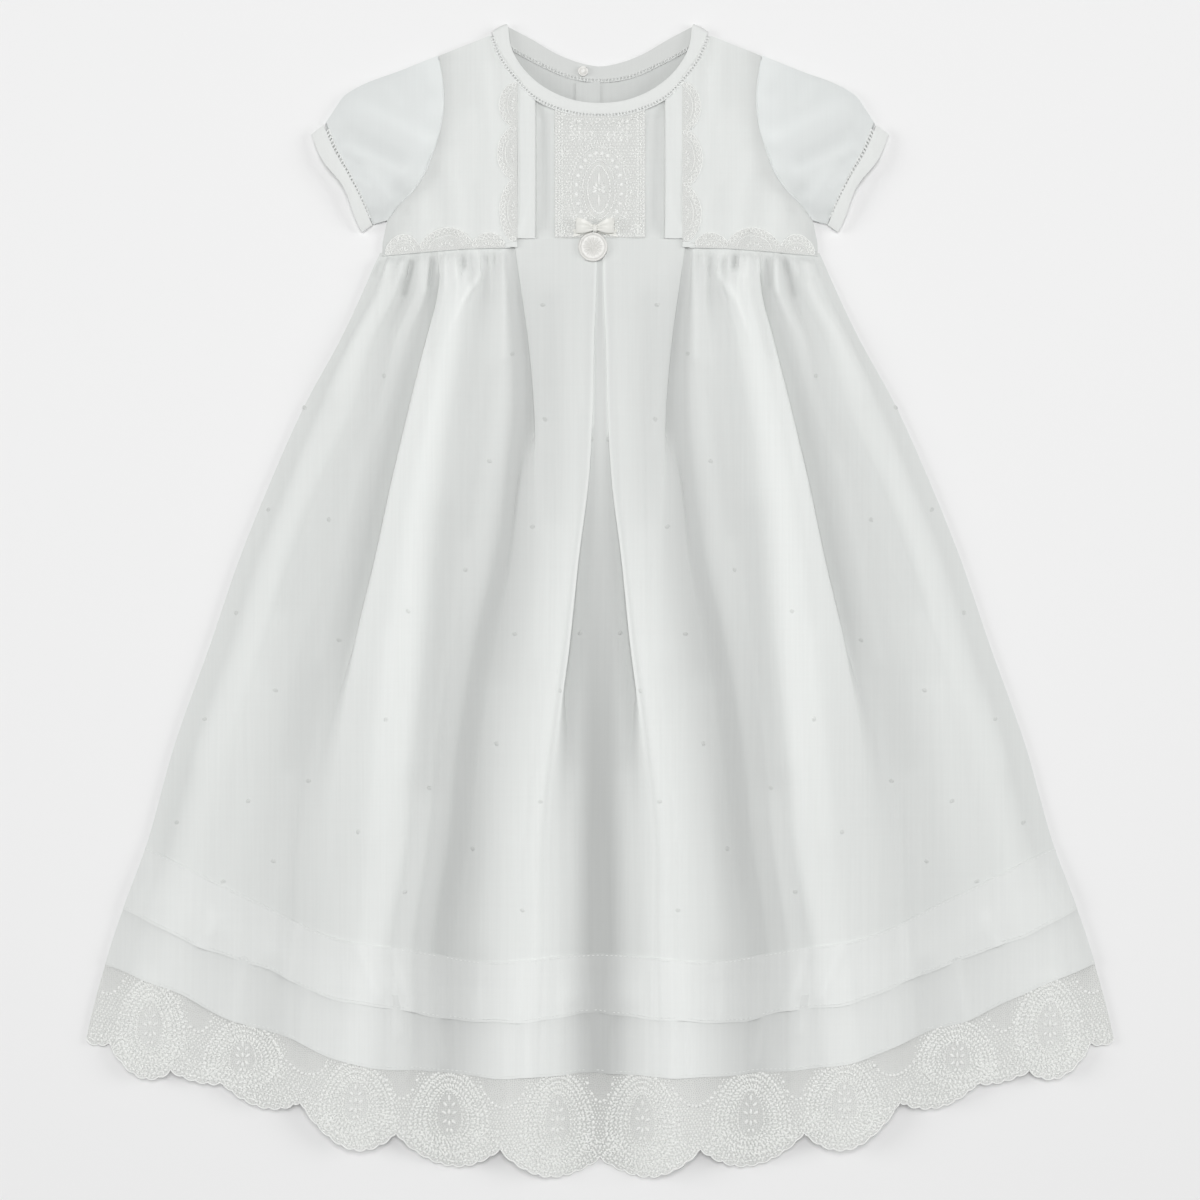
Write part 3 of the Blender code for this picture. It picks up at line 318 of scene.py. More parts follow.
def curl(across, down):
    """The high ridge's inner edge, which curls over under the waist seam and dies away down the ridge."""
    return CURL_HIGH * np.exp(-gap_to(CURL, across, down) / CURL_WIDE**2) * ease((58 - down) / 40)


def painted_fold_shade(points):
    """Painted shade for points of the skirt, from how far they lie over or under the broad level of its
    folds.
    """
    below = WAIST_Y - points[..., 1]
    off = points[..., 2] - read_grid(LEVELS, points[..., 0], below)
    away = np.abs(points[..., 0])
    from_side = smooth(BELOW_SEAM, FOLD_ACROSS["side_seam"], below) - away
    # Below the broad level is painted shade, weaker near the side seams; above it is painted light
    off = np.where(off < 0, off * ease(from_side / 26 + 0.1),
                   FOLD_RANGE * (1 - np.exp(-np.maximum(off, 0) / FOLD_RANGE)))
    slit = smooth(BELOW_SEAM, FOLD_ACROSS["slit_edge"], below)
    # Painted shade deep in the middle pleat, a painted highlight along the edge beside it, and painted light
    # that falls in where it opens
    deep = ease((smooth(BELOW_SEAM, FOLD_HEIGHT["slit_edge"], below) - points[..., 2] - 0.8) / 4)
    shaded = 1.2 * ease((below - 80) / 40) + 2.0 * ease((below - 190) / 90)
    edge = 4.0 * np.exp(-((away - slit) / 1.1) ** 2) * (deep < 0.1) * ease((300 - below) / 60)
    opened = 5.0 * ease((away - 3) / 13) * ease((slit + 1 - away) / 12)
    # Painted shade and light along the small pressed folds and the curl
    painted_crease_shade = 0.6 * (pressed(away, below, WAIST_CREASES) + curl(away, below))
    return off - shaded * deep * ease((slit + 6 - away) / 12) + opened + edge + painted_crease_shade


def ripple(run, below):
    """The fine unevenness of soft cloth."""
    wave = 0.12 * np.sin(run / 5.3 + 1.3 * np.sin(below / 83 + run / 61))
    wave += 0.04 * np.sin(run / 2.9 + 1.2 * np.sin(below / 47 + run / 90 + 2))
    wave += 0.30 * np.sin(run / 14 + below / 140 + np.sin(below / 60))
    return wave * (0.3 + 0.7 * ease(below / 110))


def skirt_wall(column, below, lift=0.0):
    """Points of the skirt cloth, raised by lift off its middle."""
    column, below = np.broadcast_arrays(column, below)
    middle = read_section(SECTIONS, column, below)
    outward = read_section(OUTWARD, column, below)
    waist = WAIST_RUN[column]
    gathered = ease((np.abs(waist) - 50) / 6) * np.exp(-np.maximum(below, 0) / 20)
    gathers = gathered * (0.95 * np.sin(waist / 0.93 + 1.6 * np.sin(waist / 7)) + 0.35 * np.sin(waist / 0.52))
    across = np.abs(middle[..., 0]) * (1 + 0.004 * np.sign(middle[..., 0]))
    raised = lift + gathers + ripple(CLOTH_RUN[column], below)
    raised = raised + pressed(across, below, WAIST_CREASES + LONG_CREASES) + curl(across, below)
    z = middle[..., 1] + raised * outward[..., 1]
    shift = np.clip(raised * outward[..., 0], -1.2, 1.2)
    z = np.maximum(z, LOWEST_CLOTH + 0.5 * lift)
    return np.stack([middle[..., 0] + shift, WAIST_Y - below, z], axis=-1)


# Cross seams: distance below the waist seam at each distance from the centre line
STITCH_LINE = ((0, 24, 63, 114, 150, 194, 254, 300), (397, 398, 401, 393, 387, 367, 338, 318))
UPPER_FOLD = ((0, 44, 86, 106, 151, 183, 202, 230, 268, 300),
              (430.5, 434, 434, 429, 421, 407.5, 400.5, 390.5, 372.5, 358))
LOWER_FOLD = ((0, 55, 84, 122, 148, 184, 206, 233, 259, 278, 300),
              (464, 466, 464, 461, 455, 441, 434.5, 421, 411, 403.5, 395))
FLAP_TOP = -5.6
GATHER_TOP = ((48, 75, 95, 124), (-0.6, -0.2, 1.2, 3.6))
BODICE_FOOT = ((46, 65, 85, 105, 124), (6.8, 6.2, 4.8, 3.2, 1.9))


def stitch_line(x):
    return smooth(*STITCH_LINE, np.abs(x))


def upper_fold(x):
    return smooth(*UPPER_FOLD, np.abs(x)) + 0.5 * np.sin(x / 9.3) + 0.3 * np.sin(x / 4.1)


def lower_fold(x):
    return smooth(*LOWER_FOLD, np.abs(x)) + 0.5 * np.sin(x / 11.7 + 1) + 0.3 * np.sin(x / 5.2)


def hem_seam(x):
    return lower_fold(x) - 5.0


def crossing(curve):
    """Where every column of the skirt meets a cross seam."""
    below = np.full(COLUMNS, 430.0)
    for _ in range(6):
        below = curve(read_section(SECTIONS, np.arange(COLUMNS), below)[:, 0])
    return below


def add_piece(name, points, faces, material, slot, replaced=(), painted_shade=None):
    """One piece of the gown, in millimetres. Its painted shade values, stored on the points, darken or
    lighten its colour by how high each point lies among the folds.
    """
    mesh = bpy.data.meshes.new(name)
    mesh.from_pydata((np.asarray(points) * MILLIMETRE).tolist(), [], faces)
    mesh.update()
    # Painted shade, kept on the points for the material
    if painted_shade is not None:
        mesh.attributes.new("painted_fold_shade", "FLOAT", "POINT").data.foreach_set("value", np.asarray(painted_shade, np.float32))
    mesh.shade_smooth()
    mesh.set_sharp_from_angle(angle=math.radians(55))
    mesh.materials.append(material)
    piece = placed(name, mesh)
    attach(piece, "root")
    if replaced:
        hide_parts(*replaced)
    return piece


def cloth(name, middle, thickness, material, slot, replaced=(), ring=False, painted_shade=None):
    """A closed thin wall on both sides of a grid of points. A ring also joins its ends."""
    middle = np.asarray(middle, float)
    # Both faces of the wall get the same painted shade
    if painted_shade is not None:
        painted_shade = np.tile(np.broadcast_to(painted_shade, middle.shape[:2]).reshape(-1), 2)
    rows, columns = middle.shape[:2]
    across = np.roll(middle, -1, 1) - np.roll(middle, 1, 1) if ring else np.gradient(middle, axis=1)
    normal = np.cross(np.gradient(middle, axis=0), across)
    normal /= np.maximum(np.linalg.norm(normal, axis=-1, keepdims=True), 1e-9)
    half = np.asarray(thickness) / 2
    points = np.concatenate([(middle + out * normal).reshape(-1, 3) for out in (half, -half)])
    at = np.arange(rows * columns).reshape(rows, columns)
    if ring:
        at = np.concatenate([at, at[:, :1]], axis=1)
    under = rows * columns
    a, b, c, d = at[:-1, :-1], at[:-1, 1:], at[1:, 1:], at[1:, :-1]
    quads = [np.stack([a, b, c, d], -1).reshape(-1, 4)]
    quads.append(quads[0][:, ::-1] + under)
    edges = [(at[0, 1:], at[0, :-1]), (at[-1, :-1], at[-1, 1:])]
    if not ring:
        edges += [(at[:-1, 0], at[1:, 0]), (at[1:, -1], at[:-1, -1])]
    for first, second in edges:
        quads.append(np.stack([first, second, second + under, first + under], -1))
    quads = np.concatenate(quads)
    p = points[quads]
    inside = np.sum(p[:, 0] * (np.cross(p[:, 1], p[:, 2]) + np.cross(p[:, 2], p[:, 3])))
    if inside < 0:
        quads = quads[:, ::-1]
    return add_piece(name, points, quads.tolist(), material, slot, replaced, painted_shade)


def add_node(tree, kind, inputs, **settings):
    """A texture or maths node. Each input is a value, or the output of another node."""
    node = tree.nodes.new("ShaderNode" + kind)
    for key, value in settings.items():
        setattr(node, key, value)
    for key, value in inputs.items():
        if isinstance(value, bpy.types.NodeSocket):
            tree.links.new(value, node.inputs[key])
        else:
            node.inputs[key].default_value = value
    return node


def woven(name, colour, shade=0.955, pitch=0.5, bump=0.2, roughness=0.88, sheen=0.12, streak=1.0, folds=None):
    """A plain weave: crossing threads as bump, and long slubs, mostly upright, as soft streaks.

    With folds, painted shade goes into the colour: it is lighter where the cloth lies high and darker deep in
    the pleats, as each point's stored value says."""
    made = finished(name, {"Roughness": roughness, "Sheen Weight": sheen, "Sheen Roughness": 0.5,
                           "Specular IOR Level": 0.25})
    tree = made.node_tree
    shader = tree.nodes["Principled BSDF"]
    place = add_node(tree, "TexCoord", {}).outputs["Object"]

    def slubs(scale):
        stretched = add_node(tree, "Mapping", {"Vector": place, "Scale": scale}).outputs["Vector"]
        return add_node(tree, "TexNoise", {"Vector": stretched, "Scale": 1.0, "Detail": 3.0}).outputs["Fac"]

    def combine(kind, *values):
        return add_node(tree, "Math", dict(enumerate(values)), operation=kind).outputs[0]

    warp = slubs((760.0, 16.0, 60.0))
    weft = slubs((16.0, 760.0, 60.0))
    both = combine("MULTIPLY_ADD", warp, 0.75 * streak, combine("MULTIPLY", weft, 0.25 * streak))
    uneven = combine("ADD", both, 0.5 - 0.5 * streak)
    ramp = add_node(tree, "ValToRGB", {"Fac": uneven})
    for stop, position, share in zip(ramp.color_ramp.elements, (0.25, 0.75), (shade, 1.0)):
        stop.position = position
        stop.color = (*[c * share for c in colour], 1.0)
    tint = ramp.outputs["Color"]
    if folds:
        # Painted shade: the colour is scaled by each point's stored painted shade value
        height = add_node(tree, "Attribute", {}, attribute_name="painted_fold_shade").outputs["Fac"]
        painted_shade_scale = add_node(tree, "MapRange", {"Value": height, "From Min": -FOLD_RANGE, "From Max": FOLD_RANGE,
                                             "To Min": folds[0], "To Max": folds[1]}).outputs["Result"]
        tint = add_node(tree, "VectorMath", {0: tint, "Scale": painted_shade_scale}, operation="SCALE").outputs["Vector"]
    tree.links.new(tint, shader.inputs["Base Color"])
    threads = [add_node(tree, "TexWave", {"Vector": place, "Scale": 314.0 / pitch, "Distortion": 0.6,
                                          "Detail": 0.0}, bands_direction=way).outputs["Fac"] for way in "XY"]
    height = combine("MULTIPLY_ADD", combine("MAXIMUM", *threads), 0.5, uneven)
    relief = add_node(tree, "Bump", {"Height": height, "Strength": bump, "Distance": 0.0002})
    tree.links.new(relief.outputs["Normal"], shader.inputs["Normal"])
    return made


VOILE = woven("white_dotted_voile", (0.86, 0.88, 0.863), folds=(0.585, 1.08))
FLAP_COLUMNS = 62
FLAP_HALF = 48.2
BEHIND_BODICE = 1.6
seam_below = np.interp(np.abs(WAIST_RUN), *GATHER_TOP)
flap_columns = np.abs(np.arange(COLUMNS) - (COLUMNS - 1) / 2) <= FLAP_COLUMNS
on_flap = flap_columns & (np.abs(WAIST_RUN) <= FLAP_HALF)
start_below = np.where(on_flap, FLAP_TOP, seam_below - BEHIND_BODICE)
stitched = crossing(stitch_line)
folded = crossing(upper_fold)
seamed = crossing(hem_seam)
down_shares = np.concatenate([np.linspace(0, 0.085, 18), np.linspace(0.085, 0.3, 22)[1:],
                              np.linspace(0.3, 1.0, 46)[1:]])[:, None]
rows_down = np.concatenate([start_below + down_shares * (stitched - start_below),
                            stitched + np.linspace(0, 1, 12)[1:, None] * (seamed - stitched)])
skirt_points = skirt_wall(np.arange(COLUMNS)[None, :], rows_down)
from_middle = np.abs(skirt_points[..., 0])
in_seam = ease(1 - (rows_down - seam_below) / 6) * ease((from_middle - 50) / 3)
under_bodice = smooth(*BODICE_FOOT, from_middle) - 0.8
skirt_points[..., 2] += in_seam * (np.minimum(under_bodice, 5.6) - skirt_points[..., 2])
skirt = cloth("skirt_front_cloth", skirt_points, VOILE_THICKNESS, VOILE, "dotted_voile", ["skirt_front"],
              painted_shade=painted_fold_shade(skirt_points))


# Swiss dots
# Small tufts of soft white thread, woven into the voile far apart in staggered rows. Each is cut
# short, so it stands as a low oval pad.

# Dots on the wearer's right, in steps of 0.565 mm. The centre line is at 600, the waist seam at 250.
DOT_PLACES = (
    (543, 306), (513, 355), (385, 377), (305, 408), (490, 462), (533, 527), (269, 510), (466, 570),
    (410, 611), (515, 634), (580, 633), (237, 613), (560, 690), (277, 690), (206, 719), (388, 718),
    (497, 743), (430, 787), (541, 800), (178, 822), (360, 830), (473, 848), (523, 908), (406, 890),
    (449, 956), (330, 520), (340, 640), (310, 780), (250, 800), (592, 440), (545, 420), (275, 860),
    (225, 880),
)
DOT_CENTRE, DOT_SEAM, DOT_STEP = 600, 250, 0.565
DOT_SIZE = (1.5, 1.15, 0.35)


def pad(x, y, z, long_half, wide_half, high, angle=0.0, tilt=(0.0, 0.0), pointed=0.0, count=8):
    """A small raised pad of thread: its points and faces. It stands on a slope given by tilt."""
    turn = np.linspace(0, 2 * np.pi, count, endpoint=False)
    cos, sin = np.cos(turn), np.sin(turn)
    narrow = 1 - pointed * np.abs(cos) ** 3
    rings = []
    for share, rise in ((1.0, -0.15), (1.0, 0.25), (0.6, 1.0)):
        along = share * long_half * cos
        aside = share * wide_half * sin * narrow
        px = along * math.cos(angle) - aside * math.sin(angle)
        py = along * math.sin(angle) + aside * math.cos(angle)
        rings.append(np.stack([x + px, y + py, z + rise * high + px * tilt[0] + py * tilt[1]], axis=1))
    points = np.vstack(rings + [[(x, y, z + 1.12 * high)]])
    faces = [tuple(range(count - 1, -1, -1))]
    for ring in (0, count):
        faces += [(ring + i, ring + (i + 1) % count, ring + count + (i + 1) % count, ring + count + i)
                  for i in range(count)]
    faces += [(2 * count + i, 2 * count + (i + 1) % count, 3 * count) for i in range(count)]
    return points, faces


class Stitching:
    """Pads and cords of thread that are gathered into one piece."""

    def __init__(self):
        self.points = []
        self.faces = []
        self.count = 0

    def add(self, points, faces):
        self.points.append(points)
        self.faces += [tuple(v + self.count for v in face) for face in faces]
        self.count += len(points)

    def piece(self, name, material, slot, painted_shade=None):
        return add_piece(name, np.vstack(self.points), self.faces, material, slot, painted_shade=painted_shade)


def topmost(x, below):
    """The skirt's top layer at a place: its height, and its slopes across and down."""
    columns = np.arange(COLUMNS)
    line = skirt_wall(columns, np.full(COLUMNS, float(below)))
    over = np.nonzero((line[:-1, 0] - x) * (line[1:, 0] - x) <= 0)[0]
    best = max(over, key=lambda c: line[c, 2] + line[c + 1, 2])
    run = line[best + 1, 0] - line[best, 0]
    share = (x - line[best, 0]) / run if abs(run) > 1e-6 else 0.5
    height = (1 - share) * line[best, 2] + share * line[best + 1, 2]
    slope = (line[best + 1, 2] - line[best, 2]) / run if abs(run) > 1e-6 else 0.0
    ahead = skirt_wall(np.array([best]), np.array([below + 3.0]))[0, 2]
    return height, (float(np.clip(slope, -1, 1)), float(np.clip((line[best, 2] - ahead) / 3.0, -1, 1)))


TUFT = woven("white_tuft_thread", (0.80, 0.82, 0.80), pitch=0.35, bump=0.6, folds=(0.585, 1.08))
dots = Stitching()
dot_painted_shade = []
for index, (px, py) in enumerate(DOT_PLACES):
    for side in (-1, 1):
        x = side * (DOT_CENTRE - px) * DOT_STEP
        below = (py - DOT_SEAM) * DOT_STEP
        if below > float(stitch_line(x)) - 2:
            continue
        z, tilt = topmost(x, below)
        points, faces = pad(x, WAIST_Y - below, z + 0.2, *DOT_SIZE, 0.7 * index, tilt)
        dots.add(points, faces)
        # Painted shade of the skirt under each dot
        dot_painted_shade += [float(painted_fold_shade(np.array([x, WAIST_Y - below, z])))] * len(points)
dots.piece("swiss_dots", TUFT, "dotted_voile", dot_painted_shade)


# Growth tucks
# Two deep tucks of the same voile run round the skirt above the hem. Each is a fold of the skirt,
# stitched along its top and pressed down, and the upper one laps over the stitching of the lower.

TUCK_THICKNESS = 0.55
TUCK_STITCH = (0.85, 0.2, 0.12)
STITCH_STEP = 2.6
LOWER_TUCK_CREASES = (
    (118, 400, 112, 440, 3, 1.0), (108, 405, 104, 450, 3.5, -1.0), (92, 430, 88, 458, 3, 0.9),
    (124, 428, 121, 458, 3, -0.9), (63, 425, 63, 462, 2.2, -0.8), (24, 420, 23.5, 462, 2.2, -0.9),
    (200, 400, 206, 434, 4, 0.8), (236, 385, 244, 418, 4, -0.8), (165, 415, 168, 448, 4, 0.7),
    (42, 430, 40, 466, 4, 0.7), (6, 425, 6, 465, 3, 0.7), (262, 375, 270, 405, 4, 0.8),
)
UPPER_TUCK_CREASES = (
    (127, 392, 114, 424, 3.0, -1.4), (134, 394, 124, 420, 3.0, 1.0), (115, 396, 105, 428, 3.0, 0.9),
    (63, 412, 63.5, 434, 2.0, -1.3), (67, 405, 68, 432, 3.0, 0.8), (24, 402, 23.5, 432, 2.0, -1.2),
    (225, 378, 233, 392, 3.0, -1.1), (217, 376, 224, 395, 3.0, 0.9), (172, 385, 176, 410, 3.5, 0.7),
    (150, 390, 146, 420, 3.0, -0.7), (44, 405, 46, 433, 4.0, 0.7), (90, 402, 88, 432, 4.0, 0.8),
    (254, 350, 262, 374, 4.0, 0.8), (196, 372, 200, 400, 3.0, -0.7), (6, 402, 5, 430, 3.0, 0.6),
)


def tuck_wall(first, last, lifts, creases):
    """A tuck from its stitching to its fold. It stands off the skirt by the lifts, in step down it."""
    share = np.linspace(0, 1, 14)[:, None]
    below = first + share * (last - first)
    lift = smooth(np.linspace(0, 1, len(lifts)), lifts, share)
    column = np.arange(COLUMNS)[None, :]
    run = CLOTH_RUN[None, :]
    loose = 0.35 * np.sin(run / 6.1 + 0.8 * np.sin(run / 23)) + 0.3 * np.sin(run / 3.3 + below / 20)
    wall = skirt_wall(column, below, lift + share * 0.15 * (1 + loose))
    x = np.abs(wall[..., 0])
    wall[..., 2] += np.maximum(pressed(x, below, creases), -0.25 * share)
    return wall


lower_stitch = crossing(lambda x: upper_fold(x) - 8.0)
low_folded = crossing(lower_fold)
lower_points = tuck_wall(lower_stitch, low_folded, (0.55, 0.6, 0.65), LOWER_TUCK_CREASES)
upper_points = tuck_wall(stitched, folded, (0.55, 0.75, 1.2, 1.25), UPPER_TUCK_CREASES)
DOUBLE_VOILE = woven("white_double_voile", (0.868, 0.886, 0.871), folds=(0.61, 1.06))
# Painted shade from the folds, and a painted shadow on the lower tuck just under the upper tuck's fold
under_upper = WAIST_Y - lower_points[..., 1] - upper_fold(lower_points[..., 0])
lower_painted_shade = painted_fold_shade(lower_points) - 1.6 * np.exp(-np.maximum(under_upper, 0) / 7)
for name, points, painted_shade, flat in (("lower", lower_points, lower_painted_shade, (0.68, 0.042)),
                                 ("upper", upper_points, painted_fold_shade(upper_points), (0.66, 0.038))):
    tuck = cloth("tuck_" + name + "_cloth", points, TUCK_THICKNESS, DOUBLE_VOILE, "dotted_voile",
                 ["tuck_" + name + "_front"], painted_shade=painted_shade)

tuck_thread = Stitching()
for at, lift in ((stitched + 1.0, 0.95), (folded - 1.6, 2.0), (low_folded - 1.6, 1.25)):
    line = skirt_wall(np.arange(COLUMNS), at, lift)
    run = travel(line)
    for place in np.arange(1.5, run[-1], STITCH_STEP):
        point, ahead = [[np.interp(at, run, line[:, k]) for k in range(3)] for at in (place, place + 1.0)]
        way = math.atan2(ahead[1] - point[1], ahead[0] - point[0])
        slope = np.clip((ahead[2] - point[2]) / max(abs(ahead[0] - point[0]), 0.2), -1.5, 1.5)
        tuck_thread.add(*pad(*point, *TUCK_STITCH, way, (float(slope), 0.0), count=6))
THREAD = woven("white_sewing_thread", (0.82, 0.835, 0.82), pitch=0.2, bump=0.4, sheen=0.2)
tuck_thread.piece("tuck_stitches", THREAD, "dotted_voile")


# Hem lace
# A deep band of fine net, sewn behind the lower tuck. White thread is worked on it in oval
# medallions, and its free edge is cut in scallops and bound with close stitching.

SCALLOP_ENDS = ((0, 56.5, 114.7, 168.4, 211.9, 241.8, 276.9, 293),
                (512.5, 506.8, 497.8, 480.3, 470.6, 463.3, 448, 444.5))
SCALLOP_BELLY = (13, 14.7, 17, 8.5, 2.5, 11, 3)
SMALL_SCALLOP = 6.9
NET_THICKNESS = 0.3
HEM_CORD = 0.42
BACK_LAYER_Z = 0.5
KNOT_STEP, KNOT_HALF, KNOT_HIGH = 1.95, 0.52, 0.34


def net_material(name, colour, hole_alpha, cell=1.1, folds=None):
    """Fine net: thread round small uneven cells, which let a little of what is under them through."""
    made = woven(name, colour, shade=0.95, bump=0.3, sheen=0.1, folds=folds)
    tree = made.node_tree
    place = add_node(tree, "TexCoord", {}).outputs["Object"]
    cells = add_node(tree, "TexVoronoi", {"Vector": place, "Scale": 1000.0 / cell, "Randomness": 0.9},
                     voronoi_dimensions="2D", feature="DISTANCE_TO_EDGE")
    holes = add_node(tree, "MapRange", {"Value": cells.outputs["Distance"], "From Min": 0.10,
                                        "From Max": 0.20, "To Min": 1.0, "To Max": hole_alpha})
    tree.links.new(holes.outputs["Result"], tree.nodes["Principled BSDF"].inputs["Alpha"])
    return made


def scalloped_edge(x, small=1.0):
    """Distance below the seam of the lace's free edge."""
    at, drop = SCALLOP_ENDS
    away = np.abs(x)
    i = np.clip(np.searchsorted(at, away, side="right") - 1, 0, len(SCALLOP_BELLY) - 1)
    at = np.array(at, float)
    t = np.clip((away - at[i]) / (at[i + 1] - at[i]), 0, 1)
    edge = np.interp(away, at, drop) + np.array(SCALLOP_BELLY)[i] * np.sin(np.pi * t) ** 0.8
    return edge - small * 1.5 * (1 - np.abs(np.sin(np.pi * away / SMALL_SCALLOP)) ** 0.7)


def hem_height(x, below):
    """Height of the lace's front layer."""
    loose = ease((below - 440) / 60)
    loose = loose * (0.4 * np.sin(x / 8.7 + below / 31) + 0.2 * np.sin(x / 4.3 + 1.0))
    return np.maximum(read_grid(TOPS, x, below) + loose, LOWEST_CLOTH + 0.15)


def side_at(below):
    """Distance of the side seam from the centre line."""
    return smooth(BELOW_SEAM, FOLD_ACROSS["side_seam"], below)


def lace_grid(height, start, columns, shares):
    """Points over the net, from the seam to the scalloped edge."""
    across = np.linspace(-1, 1, columns)[None, :]
    share = np.asarray(shares)[:, None]
    x = across * 290.0 + 0.0 * share
    for _ in range(4):
        first = start(x)
        below = first + share * (scalloped_edge(x) - first)
        x = across * side_at(below)
    return np.stack([x, WAIST_Y - below, height(x, below) + 0.0 * x], axis=-1)


NET = net_material("white_net", (0.80, 0.81, 0.79), 0.76, folds=(0.74, 1.18))
EMBROIDERY = woven("white_embroidery_thread", (0.905, 0.915, 0.895), pitch=0.25, bump=0.5, sheen=0.3)
front_net_points = lace_grid(hem_height, hem_seam, 760, np.linspace(0, 1, 13))
# Painted shade from the folds, weaker, and a painted shadow on the lace just under the lower tuck
under_tuck = WAIST_Y - front_net_points[..., 1] - lower_fold(front_net_points[..., 0])
net_painted_shade = 0.6 * painted_fold_shade(front_net_points) - 2.0 * np.exp(-np.maximum(under_tuck, 0) / 8)
front_net = cloth("hem_lace_front_net", front_net_points, NET_THICKNESS, NET, "embroidered_net",
                  ["hem_lace_front"], painted_shade=net_painted_shade)
back_net_points = lace_grid(lambda x, below: BACK_LAYER_Z, hem_seam, 560, np.linspace(0, 1, 7))
back_net = cloth("hem_lace_back_net", back_net_points, NET_THICKNESS, NET, "embroidered_net",
                 ["hem_lace_back"])


def cord(stitching, path, radius, sides=5, closed=False):
    """A corded line of close stitching along a path."""
    path = np.asarray(path, float)
    ahead = np.roll(path, -1, 0) - np.roll(path, 1, 0)
    if not closed:
        ahead[0] = path[1] - path[0]
        ahead[-1] = path[-1] - path[-2]
    ahead /= np.maximum(np.linalg.norm(ahead, axis=1, keepdims=True), 1e-9)
    aside = np.cross(ahead, (0.0, 0.0, 1.0))
    aside /= np.maximum(np.linalg.norm(aside, axis=1, keepdims=True), 1e-9)
    up = np.cross(aside, ahead)
    turn = np.linspace(0, 2 * np.pi, sides, endpoint=False)
    rings = path[:, None] + radius * (np.cos(turn)[None, :, None] * aside[:, None]
                                      + np.sin(turn)[None, :, None] * up[:, None])
    count = len(path)
    faces = []
    for r in range(count if closed else count - 1):
        after = (r + 1) % count
        faces += [(r * sides + k, r * sides + (k + 1) % sides,
                   after * sides + (k + 1) % sides, after * sides + k) for k in range(sides)]
    if not closed:
        faces.append(tuple(range(sides))[::-1])
        faces.append(tuple((count - 1) * sides + k for k in range(sides)))
    stitching.add(rings.reshape(-1, 3), faces)


MEDALLION_CENTRES = (24.0, 85.0, 137.0, 201.0, 253.0)
MEDALLION_HALF = (23.5, 25.0, 23.5, 25.0, 22.0)


def bead(x, y, z, half, high):
    """One small filling stitch, a five-sided knot: its points and faces."""
    turn = np.linspace(0, 2 * np.pi, 5, endpoint=False) + x + y
    foot, brow = [np.stack([x + reach * np.cos(turn), y + reach * np.sin(turn), np.full(5, level)], axis=1)
                  for reach, level in ((half, z - 0.1), (0.8 * half, z + 0.7 * high))]
    faces = [(4, 3, 2, 1, 0)]
    faces += [(i, (i + 1) % 5, 5 + (i + 1) % 5, 5 + i) for i in range(5)]
    faces += [(5 + i, 5 + (i + 1) % 5, 10) for i in range(5)]
    return np.vstack([foot, brow, [(x, y, z + high)]]), faces


def on_lace(x, below):
    """True on the part of the lace that shows under the tuck, clear of its free edges."""
    return (float(lower_fold(x)) - 1 < below < float(scalloped_edge(x)) - 1.4
            and abs(x) < float(side_at(below)) - 1.5)


def medallion_size(index):
    """Middle, and half height, of the medallion that fills one scallop."""
    centre = MEDALLION_CENTRES[index]
    top = float(lower_fold(centre)) - 1.5
    foot = float(scalloped_edge(centre, 0.0)) - 4.5
    return (top + foot) / 2, (foot - top) / 2


# Leaves of the sprig: place from its middle, half length, lean
SPRIG = ((0, -6.6, 2.0, 0), (2.3, -4.0, 1.7, 40), (2.9, -0.6, 1.7, 55), (0, -1.0, 1.8, 0),
         (2.5, 3.0, 1.7, -45), (0, 3.6, 1.8, 0), (1.2, 6.6, 1.3, -20))
SPRIG_WIDE = 8.6
SPRIG_TALL = 0.56
# Rows inside the outer one: how far in, across and down, then step, half length, half width and lean
INNER_ROWS = ((3.0, 2.8, 2.0, 1.3, 0.6, 0.9), (6.0, 5.6, 2.5, 0.9, 0.85), (9.2, 8.6, 2.2, 1.4, 0.65, 1.1),
              (12.4, 11.0, 2.4, 0.8, 0.7))
# Rows along the scallops: how far from the edge, then step, half length and half width
EDGE_ROWS = ((3.0, 2.3, 1.0, 0.6), (5.6, 2.9, 1.3, 0.7), (8.6, 2.5, 0.8, 0.55), (11.2, 3.1, 1.2, 0.6))


def lace_stitch(stitching, height, x, below, long_half, wide_half, high, angle, pointed):
    """One stitch on the net, lying on its slope."""
    slope = float(height(x + 1, below) - height(x - 1, below)) / 2
    stitching.add(*pad(x, WAIST_Y - below, float(height(x, below)) + 0.2, long_half, wide_half, high, angle,
                       (slope, 0.0), pointed, 6))


